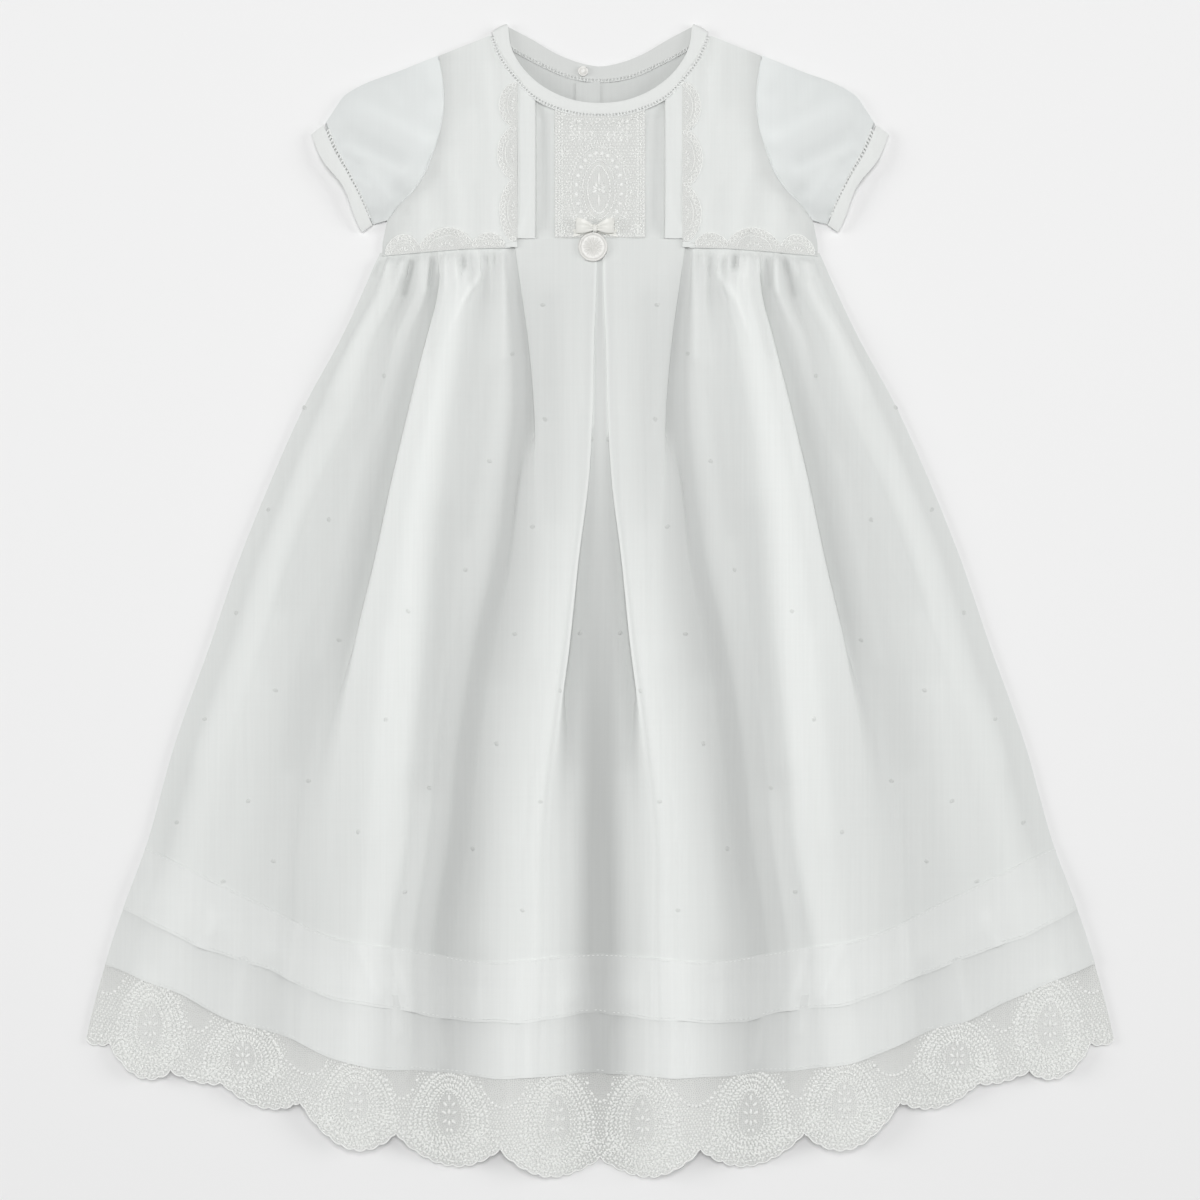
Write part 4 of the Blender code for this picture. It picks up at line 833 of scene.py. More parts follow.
def medallion(stitching, index, side, height):
    """Rows of stitches round a pointed oval with a sprig, and a small flower low at each side."""
    cx = side * MEDALLION_CENTRES[index]
    wide = MEDALLION_HALF[index]
    cb, tall = medallion_size(index)

    def put(u, v, long_half, wide_half, angle, pointed=0.5):
        if on_lace(cx + u, cb + v):
            lace_stitch(stitching, height, cx + u, cb + v, long_half, wide_half, 0.5, -angle, pointed)

    def oval(half_wide, half_tall, step, long_half, wide_half, across=0.0, first=0.0, last=2 * math.pi):
        about = math.pi * (half_wide + half_tall)
        for angle in np.arange(first, last, 2 * math.pi * step / about):
            way = math.atan2(half_tall * math.cos(angle), -half_wide * math.sin(angle))
            broad = half_wide * math.cos(angle) * (0.85 + 0.17 * math.sin(angle))
            put(broad, half_tall * math.sin(angle), long_half, wide_half, way + across)

    oval(wide, tall, 2.7, 1.05, 1.0, 0.0, math.pi - 0.3, 2 * math.pi + 0.35)
    for less_wide, less_tall, *stitch in INNER_ROWS:
        oval(wide - less_wide, tall - less_tall, *stitch)
    oval(SPRIG_WIDE, SPRIG_TALL * tall, 1.6, 0.55, 0.55)
    for u, v, long_half, lean in SPRIG:
        for way in (-1, 1) if u else (1,):
            put(way * u, v * tall / 18, long_half, 0.85, math.radians(90 + way * lean), 0.7)
    for flower in (-1, 1):
        u, v = flower * 0.72 * wide, 0.48 * tall
        for angle in np.arange(6) * math.pi / 3 + 0.3 * flower:
            put(u + 2.6 * math.cos(angle), v + 2.6 * math.sin(angle), 1.7, 0.7, angle, 0.7)
        for angle in np.arange(14) * math.pi / 7:
            put(u + 5.2 * math.cos(angle), v + 5.2 * math.sin(angle), 0.9, 0.5, angle + math.pi / 2)


CHAIN_ENDS = [-MEDALLION_CENTRES[0]] + list(MEDALLION_CENTRES) + [300.0]
CHAIN_GAPS = [(first + 0.72 * near, second - 0.72 * far) for first, second, near, far in zip(
    CHAIN_ENDS[:-1], CHAIN_ENDS[1:], MEDALLION_HALF[:1] + MEDALLION_HALF, MEDALLION_HALF + (14.0,))]


def chain_depth(away):
    """How far under the tuck a chain of dots hangs between two medallions."""
    for low, high in CHAIN_GAPS:
        if low <= abs(away) <= high:
            away = abs(away)
            return 6.0 + 10.5 * math.sin(math.pi * (away - low) / (high - low)) ** 0.8
    return 0.0


def lace_filling(stitching, height, step):
    """Small knots over all of the lace but the plain corners between the tops of the medallions."""
    for row in range(int(80 / step)):
        for k, x in enumerate(np.arange(-292.0, 292.0, step)):
            x = x + step * (0.5 * (row % 2) + 0.22 * math.sin(12.9 * k + 7.1 * row))
            away = abs(x)
            below = float(lower_fold(x)) + row * 0.88 * step + 0.3 * math.sin(5.3 * k + 2.2 * row)
            if not on_lace(x, below):
                continue
            index = int(np.argmin(np.abs(np.array(MEDALLION_CENTRES) - away)))
            middle, tall = medallion_size(index)
            aside, down = away - MEDALLION_CENTRES[index], (below - middle) / tall
            outside = math.hypot(aside / MEDALLION_HALF[index], down) > 1
            if outside and below - float(lower_fold(x)) < chain_depth(away) + 1.5:
                continue
            if math.hypot(aside / SPRIG_WIDE, down / SPRIG_TALL) < 0.8:
                continue
            stitching.add(*bead(x, WAIST_Y - below, float(height(x, below)) + 0.15, KNOT_HALF, KNOT_HIGH))


def edge_rows(stitching, height, limit):
    """Rows of stitches that follow the scallops."""
    for row, (inset, step, long_half, wide_half) in enumerate(EDGE_ROWS):
        for k, x in enumerate(np.arange(-limit, limit, step)):
            below = float(scalloped_edge(x, 0.0)) - inset - 0.4 * ((k + row) % 2)
            if abs(x) > float(side_at(below)) - 1.5 or below < float(lower_fold(x)) + 1:
                continue
            ahead = math.atan2(float(scalloped_edge(x + 1, 0.0)) - float(scalloped_edge(x - 1, 0.0)), 2.0)
            turn = math.pi / 2 if row % 2 else 0.0
            lace_stitch(stitching, height, x, below, long_half, wide_half, 0.45, -ahead + turn, 0.4)


def hem_embroidery(name, net_points, height):
    """Medallions, the rows and chains between them, and the corded edge."""
    work = Stitching()
    for index in range(len(MEDALLION_CENTRES)):
        for side in (-1, 1):
            medallion(work, index, side, height)
    edge_rows(work, height, 290.0)
    for low, high in CHAIN_GAPS:
        for side in (1,) if low < 0 else (-1, 1):
            for away in np.linspace(low, high, max(3, int((high - low) / 2.0))):
                x = side * away
                below = float(lower_fold(x)) + chain_depth(away)
                if on_lace(x, below):
                    work.add(*pad(x, WAIST_Y - below, float(height(x, below)) + 0.2, 1.0, 0.95, 0.5,
                                  count=6))
    cord(work, net_points[-1] + (0.0, 0.2, 0.0), HEM_CORD, 5)
    return work.piece(name, EMBROIDERY, "embroidered_net")


front_work = hem_embroidery("hem_lace_front_embroidery", front_net_points, hem_height)
back_work = hem_embroidery("hem_lace_back_embroidery", back_net_points, lambda x, below: 0.55)
filling = Stitching()
lace_filling(filling, hem_height, KNOT_STEP)
front_filling = filling.piece("hem_lace_front_filling", EMBROIDERY, "embroidered_net")


# Skirt back
# The same voile, flat on the table under the front and as wide. It is cut plain, with no tucks,
# and sewn to the front at the side seams.

BACK_TOP = 3.2
back_share = np.linspace(-1, 1, 121)[None, :]
back_down = np.linspace(0, 1, 60)[:, None]
below = 200.0 + 0.0 * back_share * back_down
for _ in range(5):
    x = back_share * side_at(below)
    below = BACK_TOP + back_down * (hem_seam(x) - 0.5 - BACK_TOP)
soft = 0.12 * np.sin(x / 14 + below / 90) + 0.1 * np.sin(x / 6.3)
back_points = np.stack([x, WAIST_Y - below, BACK_LAYER_Z + soft], axis=-1)
skirt_back = cloth("skirt_back_cloth", back_points, VOILE_THICKNESS, VOILE, "dotted_voile", ["skirt_back"])


# Bodice sides
# Voile from the armhole to the pleated middle, soft and a little full over the back. The seam to
# the gathered skirt lies along its foot.

SHOULDER = ((-91.1, 306.9), (-76, 313.1), (-60.4, 319.2))
FRONT_NECK_OUTER = ((-60.4, 319.2), (-54.8, 305.1), (-48.0, 295.5), (-35.6, 283.1), (-22.6, 277.1),
                    (-11, 274.4), (0, 273.8))
ARMHOLE_POINTS = ((-91.1, 306.9), (-88.1, 286.5), (-88.7, 271.8), (-92.7, 256), (-98.9, 240.1),
                  (-106.2, 230), (-114.7, 222), (-119.8, 214.7))
SIDE = ((-122.6, 202.0), (-122.8, 194.9))
BODICE_OUTER = SIDE[1][0]
BODICE_INNER = -46.5
SEAM_Z = 1.9
BODICE_Z = 6.8
NECK_GAP = 1.5
BODICE_CREASES = (
    (74, 314, 72, 280, 4.5, -1.0), (90, 238, 88, 202, 4.5, -1.2), (82, 250, 79, 206, 4.0, 0.7),
    (64, 300, 60, 250, 4.0, 0.6), (99, 226, 97, 204, 3.0, 0.8), (108, 220, 106, 202, 2.5, -0.8),
    (70, 232, 69, 200, 3.0, -0.7), (84, 300, 83, 262, 3.5, 0.8), (93, 250, 100, 234, 2.6, 0.7),
    (110, 222, 116, 214, 2.4, 0.9), (60, 225, 59, 200, 2.2, 0.6), (52, 280, 52, 215, 2.5, -0.4),
)


def lengths(points):
    """The share of the whole line that lies before each of its points."""
    total = travel(points)
    return total / total[-1]


def along(points, share, straight=False):
    """The point at each share of the way along a line of points."""
    points = np.asarray(points, float)
    at = lengths(points)
    read = (lambda v: np.interp(share, at, v)) if straight else (lambda v: smooth(at, v, share))
    return np.stack([read(points[:, k]) for k in range(points.shape[1])], axis=-1)


def patch(top, bottom, left, right, down):
    """A grid that fills four edge lines. Top and bottom are given point by point."""
    top = np.asarray(top, float)[None]
    bottom = np.asarray(bottom, float)[None]
    u = lengths(top[0])[None, :, None]
    v = np.asarray(down)[:, None, None]
    sides = (1 - u) * along(left, down)[:, None] + u * along(right, down)[:, None]
    ends = (1 - v) * top + v * bottom
    corners = (1 - v) * ((1 - u) * top[:, :1] + u * top[:, -1:])
    corners = corners + v * ((1 - u) * bottom[:, :1] + u * bottom[:, -1:])
    return sides + ends - corners


def gather_seam(x):
    """Height up the gown of the seam between the bodice and the skirt."""
    return WAIST_Y - np.interp(np.abs(x), *GATHER_TOP)


def mirrored(grid):
    """The same grid of points on the gown's other side."""
    return (np.array(grid) * (-1, 1, 1))[:, ::-1]


def with_heights(points, heights):
    """Points of a flat line, raised to the heights."""
    return np.column_stack([np.asarray(points)[:, :2], heights])


armhole = along(ARMHOLE_POINTS, np.linspace(0, 1, 40))
outer_edge = np.vstack([armhole, SIDE])
edge_heights = smooth((0, 0.2, 0.45, 0.62, 0.82, 1.0), (SEAM_Z, 4.2, 5.0, 4.4, SEAM_Z, SEAM_Z),
                      lengths(outer_edge))
bodice_armhole = with_heights(outer_edge, edge_heights)
neck_line = np.array(FRONT_NECK_OUTER[:5]) + (-0.55 * NECK_GAP, -0.85 * NECK_GAP)
neck_x = np.linspace(neck_line[0, 0], BODICE_INNER, 18)[1:]
neck_edge = np.stack([neck_x, smooth(neck_line[:, 0], neck_line[:, 1], neck_x),
                      smooth((-61, -55, -48, -46), (SEAM_Z, 5.2, BODICE_Z, BODICE_Z), neck_x)], axis=1)
shoulder = with_heights(along(SHOULDER, np.linspace(0, 1, 16), True), np.full(16, SEAM_Z))
bodice_top = np.vstack([shoulder[:-1], neck_edge])
bodice_foot = []
for share in lengths(bodice_top):
    x = BODICE_OUTER + share * (BODICE_INNER - BODICE_OUTER)
    bodice_foot.append((x, float(gather_seam(x)) + 0.1, float(smooth(*BODICE_FOOT, abs(x)))))
bodice_armhole[-1] = bodice_foot[0]
pleat_side = np.array([bodice_top[-1], (BODICE_INNER, 240, BODICE_Z), bodice_foot[-1]])
BODICE = patch(bodice_top, bodice_foot, bodice_armhole, pleat_side, lengths(outer_edge))


def bodice_side(side):
    """The cloth of one side, with its creases and the gathers along its foot."""
    grid = np.array(BODICE) if side < 0 else mirrored(BODICE)
    x, y = np.abs(grid[..., 0]), grid[..., 1]
    inward = ease((118 - x) / 8) * ease((y - 196) / 5) * 0.9 + 0.1
    grid[..., 2] += inward * (pressed(x, y, BODICE_CREASES) + 0.18 * np.sin(x / 2.7 + side + y / 60))
    grid[..., 2] += 0.5 * np.exp(-((y - gather_seam(x)) / 5) ** 2) * np.sin(x / 1.5) * inward
    grid[..., 2] = np.maximum(grid[..., 2], 1.6)
    return grid


bodice_grids = {}
from_armhole = lengths(bodice_top)[None, :]
bodice_creases = pressed(np.abs(BODICE[..., 0]), BODICE[..., 1], BODICE_CREASES)
# Painted light over the whole side, painted shade and light along its creases, and painted shade next to the
# armhole
bodice_painted_shade = 2.0 + 0.9 * bodice_creases - 4.0 * np.exp(-(from_armhole / 0.16) ** 2)
for side, name in ((-1, "left"), (1, "right")):
    bodice_grids[side] = bodice_side(side)
    made = cloth("bodice_front_" + name + "_cloth", bodice_grids[side], VOILE_THICKNESS, VOILE,
                 "dotted_voile", ["bodice_front_" + name],
                 painted_shade=bodice_painted_shade if side < 0 else bodice_painted_shade[:, ::-1])


def bodice_height(x, y):
    """Height of the bodice side's cloth, read from the nearest points of its grid."""
    grid = bodice_grids[-1 if x < 0 else 1]
    near = np.hypot(grid[..., 0] - x, grid[..., 1] - y).reshape(-1)
    order = np.argpartition(near, 4)[:4]
    weights = 1.0 / (near[order] + 0.3) ** 2
    return float(np.sum(grid.reshape(-1, 3)[order, 2] * weights) / np.sum(weights))


# Cords along the seam: how far above it, radius, how far off the cloth
WAIST_CORDS = ((0.0, 0.45, 0.15), (2.6, 0.24, 0.2))
waist_seam = Stitching()
for side in (-1, 1):
    seam_x = side * np.linspace(50.5, 122.6, 110)
    heights = np.array([bodice_height(x, float(gather_seam(x)) + 0.5) for x in seam_x])
    for rise, radius, out in WAIST_CORDS:
        cord(waist_seam, np.stack([seam_x, gather_seam(seam_x) + rise, heights + out], axis=1), radius, 6)
waist_seam.piece("waist_seam_edge", VOILE, "dotted_voile")


# Bodice middle
# A narrow panel of voile, with one knife pleat pressed at each side of the lace. Its foot is sewn
# to the skirt's two flaps.

PLEAT_EDGE = -36.5
PLEAT_UNDER = 8.0
CENTRE_Z = 3.6
CENTRE_BOTTOM = 203.4
ABOVE_FACE = CENTRE_Z + 2.2
CENTRE_CREASES = (
    (42, 285, 41.5, 210, 3.0, 0.3), (33, 282, 31, 215, 3.0, -0.5), (27.5, 270, 27.5, 212, 2.0, 0.4),
    (38, 225, 45, 208, 3.0, 0.5), (45, 250, 46, 212, 2.0, -0.3),
)


def centre_top(x):
    """Where the cloth and the lace end under the neck binding."""
    neck = np.array(FRONT_NECK_OUTER)
    return float(smooth(neck[:, 0], neck[:, 1], -abs(x))) - NECK_GAP


def to_seams(x, y):
    """How far the cloth under the lace rises to meet the neck binding, and the skirt's flaps."""
    between = float(ease((38 - abs(x)) / 3))
    return between * float(1.5 * ease(1 - (centre_top(x) - y) / 9) + 1.5 * ease(1 - (y - CENTRE_BOTTOM) / 7))


def centre_section():
    """(x, z) across the middle, with the pleat at each side turned under."""
    face = CENTRE_Z + 3.1
    half = [(BODICE_INNER, face), (BODICE_INNER + 2.5, face + 0.15), (BODICE_INNER + 5, face + 0.2),
            (PLEAT_EDGE - 1.5, face + 0.1), (PLEAT_EDGE, face), (PLEAT_EDGE, face - 1.5),
            (PLEAT_EDGE - PLEAT_UNDER / 2, CENTRE_Z + 1.5), (PLEAT_EDGE - PLEAT_UNDER, CENTRE_Z + 1.5),
            (PLEAT_EDGE - PLEAT_UNDER, CENTRE_Z)]
    half += [(x, CENTRE_Z) for x in (-40.0, -35.0, -30.0, -25.0, -20.0, -14.0, -7.0, 0.0)]
    half = np.array(half)
    return rounded(np.vstack([half, half[-2::-1] * (-1, 1)]))


centre_line = centre_section()
centre_points = np.empty((34, len(centre_line), 3))
for c, (x, z) in enumerate(centre_line):
    for r, y in enumerate(np.linspace(centre_top(x), CENTRE_BOTTOM, 34)):
        top_layer = 1.0 if z > ABOVE_FACE or abs(x) < 36 else 0.0
        soft = float(pressed(abs(x), y, CENTRE_CREASES)) + 0.12 * math.sin(x / 1.9 + y / 30)
        lean = 0.9 * math.sin((y - 205) / 26.0) * (1 if z > ABOVE_FACE else 0) * (1 if x > 0 else 0.4)
        lifted = to_seams(x, y) if z < CENTRE_Z + 1 else 0.0
        centre_points[r, c] = (x + 0.5 * lean, y, z + top_layer * soft + lifted)
# Painted shade by height: lighter on the pleat faces, darker in the strips beside the lace
bodice_middle = cloth("bodice_front_centre_cloth", centre_points, VOILE_THICKNESS, VOILE, "dotted_voile",
                      ["bodice_front_centre"], painted_shade=1.0 + 0.7 * (centre_points[..., 2] - 5.2))


# Lace panel
# A piece of the same embroidered net, laid over the middle of the bodice: a pointed oval in rows of
# stitches round a small sprig, with sprays above it and a border of stitches down each side.

PANEL_HALF = 25.5
PANEL_BOTTOM = 203.9
PANEL_Z = 4.35
PANEL_NET = net_material("white_panel_net", (0.745, 0.755, 0.735), 0.85, 1.0)


def panel_height(x, y):
    return PANEL_Z + 0.2 * math.sin(y / 9.0) * math.sin(x / 7.0 + 0.5) + to_seams(x, y)


panel_points = np.empty((40, 30, 3))
for c, x in enumerate(np.linspace(-PANEL_HALF, PANEL_HALF, 30)):
    for r, y in enumerate(np.linspace(centre_top(x), PANEL_BOTTOM, 40)):
        panel_points[r, c] = (x, y, panel_height(x, y))
panel = cloth("lace_panel_net", panel_points, NET_THICKNESS, PANEL_NET, "embroidered_net", ["lace_panel"])
panel_work = Stitching()
OVAL_X, OVAL_Y = -0.6, 231.2
# Rows of the oval: half width, half height, stitches, their half length and half width, across, shape
PANEL_ROWS = ((6.4, 13.6, 42, 0.95, 0.5, 0, 1.3), (9.2, 16.8, 52, 0.85, 0.5, 0, 1.2),
              (12.7, 20.6, 24, 1.35, 1.3, 1, 1.0), (15.9, 24.0, 62, 0.85, 0.5, 0, 1.0),
              (18.0, 26.2, 64, 0.85, 0.5, 1, 1.0))
# Leaves of its sprig: angle, how far from the middle, half length
PANEL_LEAVES = ((90, 6.2, 3.4), (270, 6.2, 3.4), (25, 2.6, 1.9), (155, 2.6, 1.9), (335, 2.6, 1.9),
                (205, 2.6, 1.9), (60, 3.2, 1.3), (120, 3.2, 1.3))
# Rows of the side borders: how far from the edge, step, half length, turn
PANEL_BORDERS = ((0.9, 1.9, 0.75, 0.5), (2.5, 1.5, 0.6, 1.57), (4.2, 1.9, 0.75, -0.5))
STITCH_HIGH = 0.45
PANEL_KNOT = (0.42, 0.3)
# Small flowers beside it: place of the middle, size
PANEL_FLOWERS = ((20.0, 252.0, 2.6), (19.6, 209.5, 2.9), (9.5, 206.6, 2.0))
SPRAY_Y = 261.3


def panel_stitch(x, y, long_half, wide_half, angle, pointed=0.5):
    """One stitch on the panel, where it is clear of the panel's edges."""
    if abs(x) > PANEL_HALF - 0.6 or not PANEL_BOTTOM + 0.6 < y < centre_top(x) - 0.8:
        return
    panel_work.add(*pad(x, y, panel_height(x, y) + 0.12, long_half, wide_half, STITCH_HIGH, angle,
                        pointed=pointed))


for wide, tall, count, long_half, wide_half, across, pointed in PANEL_ROWS:
    for k in range(count):
        turn = 2 * math.pi * (k + 0.5) / count
        u = wide * math.copysign(abs(math.cos(turn)) ** pointed, math.cos(turn))
        v = tall * math.sin(turn)
        way = math.atan2(tall * math.cos(turn), -wide * math.sin(turn))
        panel_stitch(OVAL_X + u, OVAL_Y + v, long_half, wide_half, way + across * math.pi / 2)
for angle, reach, long_half in PANEL_LEAVES:
    turn = math.radians(angle)
    panel_stitch(OVAL_X + reach * math.cos(turn) * 1.05, OVAL_Y + reach * math.sin(turn), long_half, 0.75,
                 turn, 0.7)
panel_stitch(OVAL_X, OVAL_Y, 0.9, 0.9, 0.0, 0.0)
for side in (-1, 1):
    for inset, step, long_half, turn in PANEL_BORDERS:
        for y in np.arange(PANEL_BOTTOM + 1.2, 277, step):
            panel_stitch(side * (PANEL_HALF - inset), y, long_half, 0.55, turn * side)
    for k in range(9):
        x = side * (3.0 + 1.75 * k)
        panel_stitch(x, SPRAY_Y + 0.25 * math.sin(k), 1.0, 0.35, 0.0)
        if k % 2:
            for up in (-1, 1):
                panel_stitch(x, SPRAY_Y + up * 1.9, 1.5, 0.6, side * up * 0.9, 0.7)
    for k in range(7):
        turn = 2 * math.pi * k / 7
        panel_stitch(side * 13.5 + 3.0 * math.cos(turn), 267.5 + 2.4 * math.sin(turn), 1.3, 0.6, turn, 0.6)
    for cx, cy, radius in PANEL_FLOWERS:
        for k in range(6):
            turn = math.pi * k / 3 + 0.4
            panel_stitch(side * cx + radius * 0.7 * math.cos(turn), cy + radius * 0.7 * math.sin(turn),
                         radius * 0.45, 0.5, turn, 0.6)
for k in range(17):
    x = -20.0 + 2.5 * k
    panel_stitch(x, centre_top(x) - 2.0 - 2.2 * abs(math.sin(k * 0.8)), 0.95, 0.6, 0.6 * (-1) ** k)
for x in np.arange(-PANEL_HALF + 1, PANEL_HALF, 1.8):
    panel_stitch(x, PANEL_BOTTOM + 1.1, 0.75, 0.45, 0.0)
for row, y in enumerate(np.arange(PANEL_BOTTOM + 2.2, 278, 1.75)):
    for k, x in enumerate(np.arange(-PANEL_HALF + 1.6, PANEL_HALF - 1, 1.9)):
        x += 0.95 * (row % 2) + 0.3 * math.sin(9.1 * k + 5.3 * row)
        round_oval = math.hypot((x - OVAL_X) / 9.8, (y - OVAL_Y) / 17.6)
        if round_oval > 1 and not 1.22 < round_oval < 1.5 and y < centre_top(x) - 1.2:
            panel_work.add(*bead(x, y, panel_height(x, y) + 0.1, *PANEL_KNOT))
panel_threads = panel_work.piece("lace_panel_embroidery", EMBROIDERY, "embroidered_net")


# Scalloped edging
# Narrow embroidered net sewn flat beside the pleats and along the waist seam. Each scallop is a row
# of ringed eyelets round an arc and a small spray.

EDGING_SCALLOPS = {
    "edging_upright_left": ((291.0, 266.1, 236.2, 201.6), (8.9, 10.0, 8.6)),
    "edging_upright_right": ((291.0, 263.9, 232.8, 201.6), (8.8, 9.8, 9.2)),
    "edging_waist_left": ((121.0, 101.7, 72.0, 53.5), (9.6, 11.4, 7.2)),
    "edging_waist_right": ((121.0, 101.7, 72.0, 53.5), (9.6, 11.4, 7.2)),
}
EDGING_INNER = 46.4
RING_STEP = 3.0
RING_RADIUS = 1.15
OUTLINE_CORD, RING_CORD, ARC_CORD = 0.32, 0.3, 0.26


def edging(node):
    """Net points, and stitches, of one strip of edging. Its inner edge is straight."""
    ends, bellies = EDGING_SCALLOPS[node]
    side = -1 if node.endswith("left") else 1
    upright = "upright" in node

    def place(run, out):
        if upright:
            return side * (EDGING_INNER + out), run
        return side * run, float(gather_seam(run)) - 0.2 + out

    def reach(run):
        at = np.array(ends)[::-1]
        i = int(np.clip(np.searchsorted(at, run) - 1, 0, 2))
        t = min(max((run - at[i]) / (at[i + 1] - at[i]), 0.0), 1.0)
        return 2.6 + (bellies[::-1][i] - 1.2) * math.sin(math.pi * t) ** 0.6

    runs = np.linspace(ends[-1], ends[0], 90)
    grid = np.empty((8, 90, 3))
    for c, run in enumerate(runs):
        for r, share in enumerate(np.linspace(1, 0, 8)):
            x, y = place(run, share * reach(run))
            grid[r, c] = (x, y, bodice_height(x, y) + 0.45)
    work = Stitching()
    outline = [place(run, reach(run)) for run in runs]
    cord(work, [(x, y, bodice_height(x, y) + 0.55) for x, y in outline], OUTLINE_CORD, 5)
    travelled = travel(outline)
    for at in np.arange(1.2, travelled[-1], RING_STEP):
        run = float(np.interp(at, travelled, runs))
        ahead = reach(min(run + 0.5, ends[0])) - reach(max(run - 0.5, ends[-1]))
        out = max(reach(run) - 1.75, 0.9)
        x, y = place(run + 1.2 * math.sin(math.atan(ahead)), out)
        z = bodice_height(x, y) + 0.6
        turn = np.linspace(0, 2 * np.pi, 10, endpoint=False)
        ring = [x + RING_RADIUS * np.cos(turn), y + RING_RADIUS * np.sin(turn), np.full(10, z)]
        cord(work, np.stack(ring, axis=1), RING_CORD, 4, closed=True)
    for low, high in zip(ends[1:], ends[:-1]):
        middle = (low + high) / 2
        half = (high - low) / 2
        arc = []
        for turn in np.linspace(0.12, math.pi - 0.12, 22):
            run = middle + 0.66 * half * math.cos(turn)
            x, y = place(run, 0.5 + (reach(middle) - 5.0) * math.sin(turn))
            arc.append((x, y, bodice_height(x, y) + 0.6))
        cord(work, arc, ARC_CORD, 4)
        for angle in (30, 60, 90, 120, 150):
            turn = math.radians(angle)
            x, y = place(middle + 0.28 * half * math.cos(turn),
                         0.9 + 0.35 * (reach(middle) - 4) * math.sin(turn))
            way = math.pi / 2 - turn if upright else turn
            work.add(*pad(x, y, bodice_height(x, y) + 0.5, 1.2, 0.45, 0.4, way * side, pointed=0.6, count=6))
    return grid, work


for node in EDGING_SCALLOPS:
    edging_points, edging_work = edging(node)
    strip = cloth(node + "_net", edging_points, NET_THICKNESS, PANEL_NET, "embroidered_net", [node])
    threads = edging_work.piece(node + "_embroidery", EMBROIDERY, "embroidered_net")


# Neck binding
# A folded bias strip of white cotton round the whole neckline, joined to the bodice by a ladder of
# small open holes.

FRONT_NECK_INNER = ((-52.0, 323.6), (-50.3, 311.9), (-41.8, 297.2), (-30.5, 287.6), (-17.5, 281.9),
                    (-8, 280.0), (0, 279.6))
BACK_NECK_TOP = ((-52.0, 323.6), (-39.5, 317), (-22.6, 307.4), (-9, 302.6), (0, 301.2))
BACK_NECK_LOWER = ((-60.4, 319.2), (-46.9, 310), (-33.3, 302.8), (-15.8, 295.5), (0, 293.6))
BINDING = 1.2
BACK_BAND_Z = 0.7
TIP_BAND_Z = 2.7
BAR_RADIUS, SIDE_CORD = 0.65, 0.4
NECK_BARS, BACK_BARS = 88, 64
BINDING_COTTON = woven("white_binding", (0.785, 0.80, 0.785), shade=0.97, pitch=0.35, sheen=0.2,
                       folds=(0.8, 1.2))


def whole_curve(half):
    """A line on the wearer's right, and its mirror image after it."""
    half = np.array(half)
    return np.vstack([half, half[-2::-1] * (-1, 1)])


def neck_band():
    """Sections round the neck: a point on the neckline, one on the body side, and which way is out."""
    sections = []
    shares = np.linspace(0, 1, 91)
    rise = smooth((0, 0.12, 0.25, 0.4, 0.5), (TIP_BAND_Z, 4.6, 7.2, 6.0, 5.6), np.minimum(shares, 1 - shares))
    for n, b, z in zip(along(whole_curve(FRONT_NECK_INNER), shares),
                       along(whole_curve(FRONT_NECK_OUTER), shares), rise):
        sections.append(((*n, z), (*b, z), (0, 0, 1)))
    tip_inner = np.array(FRONT_NECK_INNER[0])
    tip_outer = np.array(FRONT_NECK_OUTER[0])
    way = tip_inner - tip_outer
    outward = np.array([-way[1], way[0]]) / np.linalg.norm(way)
    folds = []
    for mirror in ((1, 1), (-1, 1)):
        turned = []
        for angle in np.linspace(0, math.pi, 5)[1:-1]:
            reach = (TIP_BAND_Z - BACK_BAND_Z) / 2
            shift = reach * math.sin(angle) * outward * mirror
            z = (TIP_BAND_Z + BACK_BAND_Z) / 2 + reach * math.cos(angle)
            normal = (*(math.sin(angle) * outward * mirror), math.cos(angle))
            turned.append(((*(tip_inner * mirror + shift), z), (*(tip_outer * mirror + shift), z), normal))
        folds.append(turned)
    sections += folds[1]
    shares = np.linspace(0, 1, 61)
    for n, b in zip(along(whole_curve(BACK_NECK_TOP), shares)[::-1],
                    along(whole_curve(BACK_NECK_LOWER), shares)[::-1]):
        sections.append(((*n, BACK_BAND_Z), (*b, BACK_BAND_Z), (0, 0, -1)))
    return sections + folds[0][::-1]


band = neck_band()
band_shares = np.linspace(0, 1, 9)
band_points = np.empty((len(band_shares), len(band), 3))
for c, (n, b, normal) in enumerate(band):
    for r, share in enumerate(band_shares):
        puff = 0.45 * math.sin(math.pi * share) ** 0.6 if normal[2] > 0 else 0.0
        puff *= 1 + 0.12 * math.sin(c / 2.2)
        band_points[r, c] = (1 - share) * np.array(n) + share * np.array(b) + puff * np.array(normal)
# Painted shade on the band's back layer, seen inside the neck, and where it turns under at each end
band_painted_shade = [-5.0 if normal[2] < 0.5 else 0.0 for _, _, normal in band]
neck_binding = cloth("neck_binding_cotton", band_points, BINDING, BINDING_COTTON, "binding",
                     ["neck_binding"], ring=True, painted_shade=band_painted_shade)


